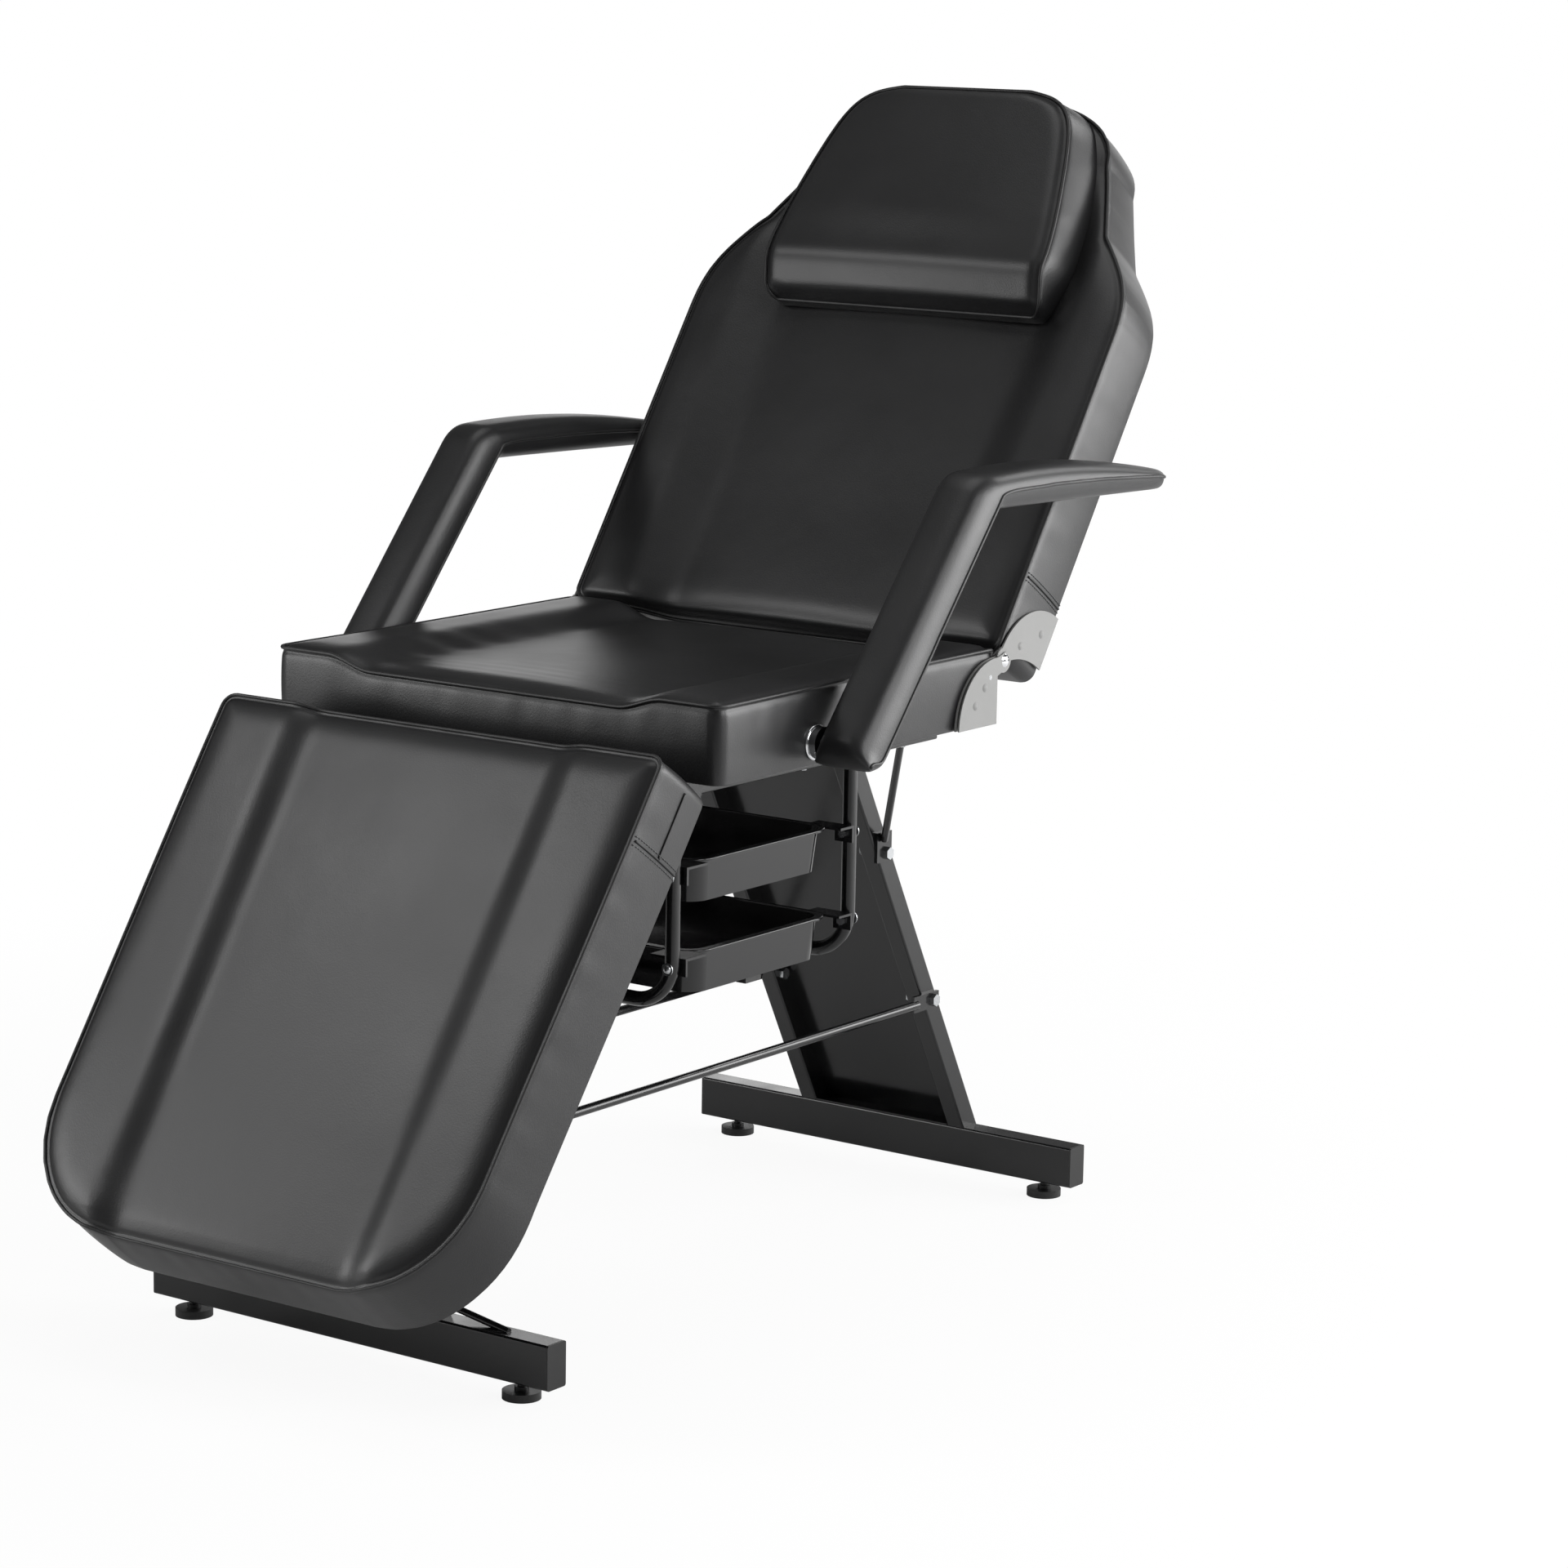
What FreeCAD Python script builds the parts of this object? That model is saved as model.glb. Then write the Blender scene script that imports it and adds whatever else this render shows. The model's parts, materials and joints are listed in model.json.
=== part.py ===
import FreeCAD, Part
import math
import os

V = FreeCAD.Vector

# Floor bars and levelling feet
bar_half_spacing = 460.6
bar_half_length = 252.0
bar_height = 45.0
bar_depth = 28.0
bar_wall = 1.5
bar_plug_flange = 2.5
bar_plug_depth = 15.0
bar_plug_play = 0.05
foot_x = 212.0
foot_pad_radius = 19.0
foot_pad_height = 8.0
foot_hub_radius = 7.0
foot_hub_height = 12.0
foot_bar_gap = 5.2
foot_stud_radius = 4.0
foot_stud_top = 50.0
foot_stud_root = 6.0
foot_insert_radius = 8.0
foot_insert_height = 8.0
running_gap = 0.05

# Leg frames
leg_half_width = 112.0
post_width = 22.0
post_depth = 25.0
post_wall = 1.5
leg_height = 481.4
panel_sheet = 1.5
panel_flange = 24.0
top_plate_thick = 3.0
top_plate_half_width = 125.0
top_plate_depth = 44.0
top_bolt_x = 60.0
panel_screw_z = 330.0

# Seat frame
frame_tube = 25.0
frame_wall = 1.5
tube_round = 2.5
rail_x = 200.0
rail_front_y = -245.0
rail_rear_y = 225.0
cross_y = 202.3

# Brace rods, struts and gussets
brace_radius = 5.0
brace_z = 224.0
brace_tab_thick = 4.0
brace_tab_height = 18.0
brace_tab_length = 44.0
strut_radius = 4.0
strut_foot_z = 404.0
strut_rise_x = 76.0
strut_rise_y = 84.0
strut_offset = 8.0
gusset_radius = 3.5
gusset_bar_x = 196.0
gusset_rise = 14.0

# Tray hangers and trays
hanger_radius = 7.5
hanger_wall = 1.2
hanger_front_y = -215.0
hanger_rear_y = 85.0
hanger_bottom_z = 338.0
hanger_bend = 45.0
tray_lip_z = 476.0
tray_pitch = 92.0
tray_depth = 45.0
tray_half_width = 194.0
tray_front_y = -174.0
tray_rear_y = 54.0
tray_corner = 24.0
tray_draft = 4.0
tray_wall = 2.5
tray_lip = 6.0
tray_lip_thick = 2.5
ear_half_width = 11.0
ear_height = 18.0
ear_thick = 3.0
catch_length = 26.0
catch_height = 7.0
catch_depth = 12.0

# Cushions
seat_half = 280.0
seat_front_y = -254.0
seat_rear_y = 233.0
seat_thick = 77.0
skirt = 3.0
board_thick = 15.0
batten_width = 20.0
batten_height = 40.0
cover_thick = 1.0
side_bulge = 3.0
cushion_puff = 7.0
cushion_crown = 4.0
cushion_dish = 14.0
crest_inset = 36.0
bolster_inset = 68.0
groove_inset = 112.0
end_round = 14.0
end_roll = 40.0
plan_round = 12.0
plan_margin = 0.5
front_round = 5.0

back_angle = 56.0
back_thick = 80.0
back_straight = 395.0
back_length = 664.0
back_shoulder_x = 226.0
back_shoulder_y = 497.0
back_neck_x = 188.0
back_neck_y = 591.0
back_crown_x = 70.0
back_batten_start = 6.0
back_batten_end = 380.0
back_board_inset = 6.5

leg_angle = 55.1
leg_half = 272.0
leg_thick = 82.0
leg_length = 582.0
leg_corner = 122.0
leg_top_y = -334.6
leg_top_z = 610.5

# Head pillow
pillow_start = 390.0
pillow_end = 651.0
pillow_half = 184.0
pillow_shoulder_y = 505.0
pillow_neck_x = 145.0
pillow_neck_y = 630.0
pillow_top_x = 100.0
pillow_side_swell = 9.0
pillow_top_swell = 6.0
pillow_wall = 50.0
pillow_foot_wall = 15.0
pillow_crown = 10.0
pillow_roll_length = 45.0
pillow_roll_swell = 9.0
pillow_gap = 0.3
strap_half_width = 22.0
strap_thick = 2.0
strap_tail = 60.0

# Backrest hinge
pivot_inset = 12.0
pivot_offset = 6.4
layer_gap = 0.3
hinge_plate = 2.0
hinge_cover = 1.6
pin_radius = 4.0
pin_head_radius = 7.0
pin_head_height = 2.8
pin_tail_radius = 5.5
pin_tail_height = 1.5
ear_radius = 9.0
seat_disc_radius = 70.0
seat_disc_inset = 8.0
back_ring_outer = 78.0
back_plate_in = 17.0
back_plate_waist = 13.0
back_plate_waist_depth = 50.0
back_plate_root_depth = 24.0
back_screw_reach = 53.0
tooth_radius = 15.0
tooth_depth = 2.0
back_tooth_start = 108.0
back_tooth_span = 84.0
back_teeth = 8
pawl_radius = 5.0
pawl_pin_radius = 2.5
pawl_reach_y = 12.1
pawl_reach_z = 14.6
hinge_screw_radius = 2.5
hinge_screw_length = 24.0
hinge_screw_head = 4.5
hinge_screw_head_height = 1.8
hinge_screw_pitch = 47.0
spacer_radius = 6.0

# Leg rest hinge
leg_pivot_y = -261.5
leg_pivot_z = 568.6
leg_ear_radius = 7.2
leg_plate = 3.0
leg_bracket = 4.0
leg_bracket_length = 52.0
leg_bracket_drop = 37.0
leg_web_depth = 14.0
leg_web_length = 72.0
leg_flange = 26.0
leg_tooth_radius = 22.0
leg_tooth_start = 277.0
leg_tooth_span = 68.0
leg_teeth = 8
leg_pawl_reach_y = 19.7
leg_pawl_reach_z = 2.1
leg_pawl_angle = 285.0

# Arms
arm_gap = 12.0
arm_width = 65.0
arm_half_thick = 22.5
arm_pivot_y = -93.0
arm_pivot_z = 594.0
arm_elbow_y = 105.0
arm_elbow_z = 829.0
arm_tip_y = 451.0
arm_tip_z = 813.5
arm_elbow_half = 19.0
arm_tip_half = 11.0
arm_elbow_round = 45.0
arm_top_angle = 2.5
arm_edge_round = 7.0
arm_tip_round = 28.0
arm_core_inset = 8.0
arm_core_cover = 6.0
arm_core_short = 30.0
arm_core_thick = 18.0
arm_disc_radius = 16.5
arm_stud_radius = 5.0
arm_nut_radius = 8.5
arm_nut_height = 7.0
arm_washer_radius = 11.0
arm_washer_thick = 1.5

# Fasteners
bolt_radius = 4.0
bolt_head_radius = 7.0
bolt_head_height = 5.0
nut_height = 6.0
small_radius = 2.5
small_head_radius = 4.5
small_head_height = 3.0
small_nut_height = 4.0
small_washer_radius = 6.5
small_washer_thick = 1.0
wood_screw_radius = 2.0
wood_screw_length = 12.0
wood_screw_head = 4.0
wood_screw_head_height = 1.5

# Shares of the cushion forms
corner_rise_shares = (0.35, 0.80)
bolster_roll_shares = (0.55, 0.14)
groove_fall_shares = (0.55, 0.80)
shoulder_turn_shares = (0.72, 0.50)
round_share = math.sqrt(0.5)
strut_over_share = 1.1

# Levels that follow from the sizes above
bar_bottom_z = foot_hub_height + foot_bar_gap
bar_top_z = bar_bottom_z + bar_height
post_top_z = bar_top_z + leg_height
frame_bottom_z = post_top_z + top_plate_thick
frame_top_z = frame_bottom_z + frame_tube
seat_top_z = frame_top_z + seat_thick
lean = (bar_half_spacing - cross_y) / leg_height
lean_stretch = math.hypot(1, lean)
back_half = seat_half + layer_gap + hinge_plate


def box(x0, x1, y0, y1, z0, z1):
    """Solid between two limits on each axis."""
    low = V(min(x0, x1), min(y0, y1), min(z0, z1))
    return Part.makeBox(abs(x1 - x0), abs(y1 - y0), abs(z1 - z0), low)


def rod(start, end, radius):
    """Round bar from one point to another."""
    run = end - start
    return Part.makeCylinder(radius, run.Length, start, run)


def line(a, b):
    """Straight edge."""
    return Part.makeLine(a, b)


def bend(a, m, b):
    """Arc edge through three points."""
    return Part.Arc(a, m, b).toShape()


def sweep(edges, run):
    """Solid from a closed outline moved along a vector."""
    return Part.Face(Part.Wire(edges)).extrude(run)


def polygon(points, run):
    """Solid from corner points moved along a vector."""
    return sweep([line(a, b) for a, b in zip(points, points[1:] + points[:1])], run)


def hexagon(start, end, radius):
    """Six sided bar from one point to another."""
    run = end - start
    side = V(0, 0, 1) if abs(run.z) < abs(run.x) + abs(run.y) else V(1, 0, 0)
    other = run.cross(side).normalize()
    side = other.cross(run).normalize()
    corners = []
    for k in range(6):
        turn = k * math.pi / 3
        corners.append(start + side * (radius * math.cos(turn)) + other * (radius * math.sin(turn)))
    return polygon(corners, run)


def fuse(shapes):
    """One solid from touching shapes."""
    whole = shapes[0]
    for shape in shapes[1:]:
        whole = whole.fuse(shape)
    return whole.removeSplitter()


def cut(shape, tools):
    """Shape with tools taken away."""
    for tool in tools:
        shape = shape.cut(tool)
    return shape


def soften(shape, run):
    """Tube with its long edges of one length rounded."""
    return shape.makeFillet(tube_round, [e for e in shape.Edges if abs(e.Length - run) < running_gap])


def bow(a, b, swell):
    """Arc from a to b whose middle stands out to the right by a swell."""
    run = b - a
    side = V(run.y, -run.x, 0).normalize()
    return bend(a, (a + b) * (1 / 2) + side * swell, b)


def flip_x(shape):
    """Mirror image across the middle plane."""
    return shape.mirror(V(0, 0, 0), V(1, 0, 0))


def flip_y(shape):
    """Mirror image front to rear."""
    return shape.mirror(V(0, 0, 0), V(0, 1, 0))


def both_x(shapes):
    """Shapes and their mirror images across the middle plane."""
    return shapes + [flip_x(shape) for shape in shapes]


def both_y(shapes):
    """Shapes and their mirror images front to rear."""
    return shapes + [flip_y(shape) for shape in shapes]


def write(node, shapes):
    """Export one node as a group of solids or a single solid."""
    solids = [solid for shape in shapes for solid in shape.Solids]
    whole = solids[0] if len(solids) == 1 else Part.makeCompound(solids)
    whole.exportStep("parts/" + node + ".step")


def hex_bolt(seat, end, radius, head_radius, head_height):
    """Bolt from the seat of its head to the end of its shank."""
    back = (seat - end).normalize() * head_height
    return fuse([hexagon(seat, seat + back, head_radius), rod(end, seat, radius)])


def domed_head(seat, outward, radius, height):
    """Low dome standing on a flat seat."""
    globe = (radius * radius + height * height) / (2 * height)
    ball = Part.makeSphere(globe, seat - outward * (globe - height))
    return ball.common(rod(seat, seat + outward * height, radius))


def domed_bolt(seat, end, radius, head_radius, head_height):
    """Round headed screw from the seat of its head to the end of its shank."""
    outward = (seat - end).normalize()
    return fuse([domed_head(seat, outward, head_radius, head_height), rod(end, seat, radius)])


def nut(seat, end, hex_radius, hole_radius):
    """Six sided nut between two points."""
    return hexagon(seat, end, hex_radius).cut(rod(seat, end, hole_radius))


def ring(seat, end, radius, hole_radius):
    """Washer or spacer between two points."""
    return rod(seat, end, radius).cut(rod(seat, end, hole_radius))


def rounded_frame(x, y0, y1, z, radius):
    """Rounded rectangle wire at one level."""
    k = radius * (1 - round_share)
    e = [line(V(-x + radius, y0, z), V(x - radius, y0, z))]
    e.append(bend(V(x - radius, y0, z), V(x - k, y0 + k, z), V(x, y0 + radius, z)))
    e.append(line(V(x, y0 + radius, z), V(x, y1 - radius, z)))
    e.append(bend(V(x, y1 - radius, z), V(x - k, y1 - k, z), V(x - radius, y1, z)))
    e.append(line(V(x - radius, y1, z), V(-x + radius, y1, z)))
    e.append(bend(V(-x + radius, y1, z), V(-x + k, y1 - k, z), V(-x, y1 - radius, z)))
    e.append(line(V(-x, y1 - radius, z), V(-x, y0 + radius, z)))
    e.append(bend(V(-x, y0 + radius, z), V(-x + k, y0 + k, z), V(-x + radius, y0, z)))
    return Part.Wire(e)


def toothed_fan(centre_y, centre_z, x, radius, depth, start, span, teeth, run):
    """Fan with saw teeth on its rim, angles in degrees from the +Y axis."""
    points = [V(x, centre_y, centre_z)]
    for k in range(teeth):
        for rim, part in ((radius, 0), (radius - depth, 1)):
            turn = math.radians(start + span * (k + part) / teeth)
            points.append(V(x, centre_y + rim * math.cos(turn), centre_z + rim * math.sin(turn)))
    return polygon(points, V(run, 0, 0))


def pawl_lever(y, z, tip_y, tip_z, x, run):
    """Round end at (y, z) drawn out to a point."""
    reach = math.hypot(tip_y - y, tip_z - z)
    lean_in = math.acos(pawl_radius / reach)
    aim = math.atan2(tip_z - z, tip_y - y)
    points = [V(x, tip_y, tip_z)]
    for turn in (aim + lean_in, aim - lean_in):
        points.append(V(x, y + pawl_radius * math.cos(turn), z + pawl_radius * math.sin(turn)))
    hub = rod(V(x, y, z), V(x + run, y, z), pawl_radius)
    hole = rod(V(x, y, z), V(x + run, y, z), pawl_pin_radius + running_gap)
    points.insert(2, V(x, y, z))
    return fuse([hub, polygon(points, V(run, 0, 0))]).cut(hole)


# Cushion forms: across x, along y from zero, face at z zero
def cushion_section(half, depth, y0, length):
    """Cross section with raised sides, grooves and a low crowned middle."""
    side = half - side_bulge
    crest = half - crest_inset
    roll = half - bolster_inset
    groove = half - groove_inset

    def p(x, z):
        return V(x, y0, z)

    rise_x = side + (crest - side) * corner_rise_shares[0]
    rise_z = cushion_puff * corner_rise_shares[1]
    roll_x = crest + (roll - crest) * bolster_roll_shares[0]
    roll_z = cushion_puff - (cushion_puff + cushion_dish) * bolster_roll_shares[1]
    low_z = -cushion_dish * groove_fall_shares[0] + cushion_puff * (1 - groove_fall_shares[1])
    edges = [line(p(-side, -depth), p(side, -depth))]
    edges.append(bend(p(side, -depth), p(half, -depth / 2), p(side, 0)))
    edges.append(bend(p(side, 0), p(rise_x, rise_z), p(crest, cushion_puff)))
    edges.append(bend(p(crest, cushion_puff), p(roll_x, roll_z), p(roll, low_z)))
    edges.append(line(p(roll, low_z), p(groove, -cushion_dish)))
    crown = p(0, cushion_crown - cushion_dish)
    edges.append(bend(p(groove, -cushion_dish), crown, p(-groove, -cushion_dish)))
    edges.append(line(p(-groove, -cushion_dish), p(-roll, low_z)))
    edges.append(bend(p(-roll, low_z), p(-roll_x, roll_z), p(-crest, cushion_puff)))
    edges.append(bend(p(-crest, cushion_puff), p(-rise_x, rise_z), p(-side, 0)))
    edges.append(bend(p(-side, 0), p(-half, -depth / 2), p(-side, -depth)))
    return sweep(edges, V(0, length, 0))


def cushion_side(half, depth, start, end, start_round, far_round):
    """Side view with rounded top ends and a long crown."""
    top = cushion_puff

    def p(y, z):
        return V(-half, y, z)

    a = start + start_round
    b = end - far_round
    k = 1 - round_share
    edges = [line(p(start, -depth), p(end, -depth))]
    edges.append(line(p(end, -depth), p(end, -far_round)))
    edges.append(bend(p(end, -far_round), p(end - far_round * k, -far_round * k), p(b, 0)))
    edges.append(bend(p(b, 0), p(b - end_roll * round_share / 2, top * round_share), p(b - end_roll, top)))
    edges.append(line(p(b - end_roll, top), p(a + end_roll, top)))
    edges.append(bend(p(a + end_roll, top), p(a + end_roll * round_share / 2, top * round_share), p(a, 0)))
    edges.append(bend(p(a, 0), p(start + start_round * k, -start_round * k), p(start, -start_round)))
    edges.append(line(p(start, -start_round), p(start, -depth)))
    return sweep(edges, V(2 * half, 0, 0))


def plan_solid(edges, depth, height):
    """Plan outline at the lowest level moved up past the crown."""
    return sweep(edges, V(0, 0, depth + height))


def lay_back(shape):
    """From the flat cushion position to the leaning backrest."""
    shape = shape.copy()
    shape.rotate(V(0, 0, 0), V(1, 0, 0), back_angle)
    shape.translate(V(0, seat_rear_y, seat_top_z))
    return shape


def lay_leg(shape):
    """From the flat cushion position to the hanging leg rest."""
    shape = shape.copy()
    shape.rotate(V(0, 0, 0), V(0, 0, 1), 180)
    shape.rotate(V(0, 0, 0), V(1, 0, 0), leg_angle)
    shape.translate(V(0, leg_top_y, leg_top_z))
    return shape


os.makedirs("parts", exist_ok=True)

# Floor bars with end plugs
bar = box(-bar_half_length, bar_half_length, bar_half_spacing - bar_depth / 2,
          bar_half_spacing + bar_depth / 2, bar_bottom_z, bar_top_z)
bar_space = box(-bar_half_length, bar_half_length, bar_half_spacing - bar_depth / 2 + bar_wall,
                bar_half_spacing + bar_depth / 2 - bar_wall, bar_bottom_z + bar_wall,
                bar_top_z - bar_wall)
bar = soften(bar, 2 * bar_half_length).cut(bar_space)
stud_axis_low = V(foot_x, bar_half_spacing, 0)
hole = rod(stud_axis_low, V(foot_x, bar_half_spacing, bar_top_z - bar_wall), foot_stud_radius + layer_gap)
bar = cut(bar, both_x([hole]))
write("floor_bars", both_y([bar]))
inset = bar_wall + bar_plug_play
plug = box(bar_half_length - bar_plug_depth, bar_half_length,
           bar_half_spacing - bar_depth / 2 + inset, bar_half_spacing + bar_depth / 2 - inset,
           bar_bottom_z + inset, bar_top_z - inset)
flange = box(bar_half_length, bar_half_length + bar_plug_flange, bar_half_spacing - bar_depth / 2,
             bar_half_spacing + bar_depth / 2, bar_bottom_z, bar_top_z)
flange = soften(flange, bar_plug_flange)
write("bar_end_plugs", both_y(both_x([fuse([plug, flange])])))

# Levelling feet and their nut inserts
insert_low = V(foot_x, bar_half_spacing, bar_bottom_z + bar_wall)
insert_top = insert_low + V(0, 0, foot_insert_height)
insert = ring(insert_low, insert_top, foot_insert_radius, foot_stud_radius + running_gap)
write("foot_nut_inserts", both_y(both_x([insert])))
pad = rod(stud_axis_low, V(foot_x, bar_half_spacing, foot_pad_height), foot_pad_radius)
hub = rod(stud_axis_low, V(foot_x, bar_half_spacing, foot_hub_height), foot_hub_radius)
stud_root = V(foot_x, bar_half_spacing, foot_stud_root)
stud = rod(stud_root, V(foot_x, bar_half_spacing, foot_stud_top), foot_stud_radius)
pad = fuse([pad, hub]).cut(stud)
for end_name, end_shape in (("rear", lambda s: s), ("front", flip_y)):
    for side_name, side_shape in (("right", lambda s: s), ("left", flip_x)):
        foot = [side_shape(end_shape(pad)), side_shape(end_shape(stud))]
        write("foot_" + end_name + "_" + side_name, foot)


# Leaning leg frames
def lean_prism(x0, x1, thick, offset):
    """Leaning bar between the floor bar and the top plate, offset outward."""
    half = thick * lean_stretch / 2
    shift = offset * lean_stretch
    foot_y = bar_half_spacing + shift
    head_y = cross_y + shift
    points = [V(x0, foot_y - half, bar_top_z), V(x0, foot_y + half, bar_top_z)]
    points.append(V(x0, head_y + half, post_top_z))
    points.append(V(x0, head_y - half, post_top_z))
    return polygon(points, V(x1 - x0, 0, 0))


def post_y(z):
    """Post centre line at a level."""
    return bar_half_spacing - lean * (z - bar_top_z)


post_in = leg_half_width - post_width
post = soften(lean_prism(post_in, leg_half_width, post_depth, 0), leg_height * lean_stretch)
post_space = lean_prism(post_in + post_wall, leg_half_width - post_wall, post_depth - 2 * post_wall, 0)
post = post.cut(post_space)
bolt_hole_radius = bolt_radius + running_gap
brace_y = post_y(brace_z)
brace_hole = rod(V(post_in, brace_y, brace_z), V(leg_half_width, brace_y, brace_z), bolt_hole_radius)
strut_y = post_y(strut_foot_z)
strut_hole = rod(V(post_in, strut_y, strut_foot_z), V(leg_half_width, strut_y, strut_foot_z),
                 bolt_hole_radius)
front_post = post.cut(brace_hole)
rear_post = front_post.cut(strut_hole)
write("leg_posts", both_x([rear_post, flip_y(front_post)]))

panel_face = post_depth / 2 - tube_round
panel = lean_prism(-post_in, post_in, panel_sheet, panel_face - panel_sheet / 2)
flange_y = bar_half_spacing + (panel_face - panel_sheet) * lean_stretch
panel_foot = box(-post_in, post_in, flange_y - panel_flange, flange_y, bar_top_z, bar_top_z + panel_sheet)
panel = fuse([panel, panel_foot])
write("leg_panels", both_y([panel]))

plate = box(-top_plate_half_width, top_plate_half_width, cross_y - top_plate_depth / 2,
            cross_y + top_plate_depth / 2, post_top_z, frame_bottom_z)
top_seat = V(top_bolt_x, cross_y, post_top_z)
top_end = V(top_bolt_x, cross_y, frame_bottom_z + frame_wall + nut_height)
top_bolt = hex_bolt(top_seat, top_end, bolt_radius, bolt_head_radius, bolt_head_height)
top_hole = rod(top_seat, top_end, bolt_hole_radius)
plate = cut(plate, both_x([top_hole]))
write("leg_top_plates", both_y([plate]))
write("leg_top_bolts", both_y(both_x([top_bolt])))
nut_low = V(top_bolt_x, cross_y, frame_bottom_z + frame_wall)
top_nut = nut(nut_low, top_end, bolt_head_radius, bolt_hole_radius)
frame_nuts = both_y(both_x([top_nut]))

# Seat frame of square tube
rail = box(rail_x - frame_tube / 2, rail_x + frame_tube / 2, rail_front_y, rail_rear_y,
           frame_bottom_z, frame_top_z)
rail_space = box(rail_x - frame_tube / 2 + frame_wall, rail_x + frame_tube / 2 - frame_wall, rail_front_y,
                 rail_rear_y, frame_bottom_z + frame_wall, frame_top_z - frame_wall)
rail = soften(rail, rail_rear_y - rail_front_y).cut(rail_space)
cross_end = rail_x - frame_tube / 2
cross = box(-cross_end, cross_end, cross_y - frame_tube / 2, cross_y + frame_tube / 2,
            frame_bottom_z, frame_top_z)
cross_space = box(-cross_end, cross_end, cross_y - frame_tube / 2 + frame_wall,
                  cross_y + frame_tube / 2 - frame_wall, frame_bottom_z + frame_wall,
                  frame_top_z - frame_wall)
cross = cut(soften(cross, 2 * cross_end).cut(cross_space), both_x([top_hole]))

# Bolts that hold the seat board to the rails
board_top_z = frame_top_z + board_thick
board_bolts = []
board_holes = []
for y in (-cross_y + frame_tube, 0, cross_y - frame_tube):
    seat = V(rail_x, y, frame_bottom_z)
    end = V(rail_x, y, frame_top_z + board_thick - skirt)
    board_bolts.append(hex_bolt(seat, end, small_radius, small_head_radius, small_head_height))
    board_holes.append(rod(seat, end + V(0, 0, running_gap), small_radius + running_gap))
write("seat_board_bolts", both_x(board_bolts))
rail = cut(rail, board_holes)
write("seat_frame", both_x([rail]) + both_y([cross]))

# Brace rods between the leg frames
brace_x = leg_half_width + brace_radius
tab_end = brace_y + brace_tab_length / 4
tab_start = tab_end - brace_tab_length
brace = [rod(V(brace_x, -tab_start, brace_z), V(brace_x, tab_start, brace_z), brace_radius)]
tab = box(leg_half_width, leg_half_width + brace_tab_thick, tab_start - brace_tab_thick, tab_end,
          brace_z - brace_tab_height / 2, brace_z + brace_tab_height / 2)
brace = fuse(brace + both_y([tab]))
brace = cut(brace, both_y([brace_hole.translated(V(brace_tab_thick, 0, 0))]))
write("brace_rods", both_x([brace]))
bolt_seat = V(leg_half_width + brace_tab_thick, brace_y, brace_z)
bolt_end = V(post_in - nut_height, brace_y, brace_z)
brace_bolt = hex_bolt(bolt_seat, bolt_end, bolt_radius, bolt_head_radius, bolt_head_height)
brace_nut = nut(V(post_in, brace_y, brace_z), bolt_end, bolt_head_radius, bolt_hole_radius)
post_bolts = both_y(both_x([brace_bolt]))
frame_nuts += both_y(both_x([brace_nut]))

# Struts from the rear posts to the rails
strut_start_z = strut_foot_z + 2 * strut_offset
strut_start = V(leg_half_width + strut_radius * 3 / 2, strut_y - strut_offset, strut_start_z)
strut_rise = frame_bottom_z - strut_foot_z
strut_run = V(strut_rise_x, -strut_rise_y, strut_rise - 2 * strut_offset)
strut = rod(strut_start, strut_start + strut_run * strut_over_share, strut_radius)
above = box(0, 2 * rail_x, 0, 2 * cross_y, frame_bottom_z, frame_bottom_z + strut_rise)
strut = strut.cut(above)
strut_tab = box(leg_half_width, leg_half_width + brace_tab_thick, strut_y - brace_tab_height,
                strut_y + brace_tab_height / 2, strut_foot_z - brace_tab_height / 2,
                strut_foot_z + 3 * strut_offset)
strut = fuse([strut_tab, strut]).cut(strut_hole.translated(V(brace_tab_thick, 0, 0)))
strut_bolt = hex_bolt(V(leg_half_width + brace_tab_thick, strut_y, strut_foot_z),
                      V(post_in - nut_height, strut_y, strut_foot_z), bolt_radius, bolt_head_radius,
                      bolt_head_height)
strut_nut = nut(V(post_in, strut_y, strut_foot_z), V(post_in - nut_height, strut_y, strut_foot_z),
                bolt_head_radius, bolt_hole_radius)
write("rear_struts", both_x([strut]))
write("leg_post_bolts", post_bolts + both_x([strut_bolt]))
write("frame_nuts", frame_nuts + both_x([strut_nut]))

# Thin gussets between the front bar and the front posts
gusset_y = -bar_half_spacing
gusset_peak = bar_top_z + gusset_rise * gusset_bar_x / (gusset_bar_x - leg_half_width)
gusset = rod(V(gusset_bar_x, gusset_y, bar_top_z), V(0, gusset_y, gusset_peak), gusset_radius)
keep = box(leg_half_width, 2 * bar_half_length, gusset_y - bar_depth, gusset_y + bar_depth, bar_top_z,
           post_top_z)
gusset = gusset.common(keep)
write("front_gussets", both_x([gusset]))

# U shaped hangers for the trays
def hanger(y, radius):
    """U tube below the rails, as a solid rod of the given radius."""
    k = hanger_bend * (1 - round_share)
    low = hanger_bottom_z
    x = rail_x
    e = [line(V(x, y, frame_bottom_z), V(x, y, low + hanger_bend))]
    e.append(bend(V(x, y, low + hanger_bend), V(x - k, y, low + k), V(x - hanger_bend, y, low)))
    e.append(line(V(x - hanger_bend, y, low), V(hanger_bend - x, y, low)))
    e.append(bend(V(hanger_bend - x, y, low), V(k - x, y, low + k), V(-x, y, low + hanger_bend)))
    e.append(line(V(-x, y, low + hanger_bend), V(-x, y, frame_bottom_z)))
    round_wire = Part.Wire([Part.makeCircle(radius, V(x, y, frame_bottom_z), V(0, 0, 1))])
    return Part.Wire(e).makePipeShell([round_wire], True, False)


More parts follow.
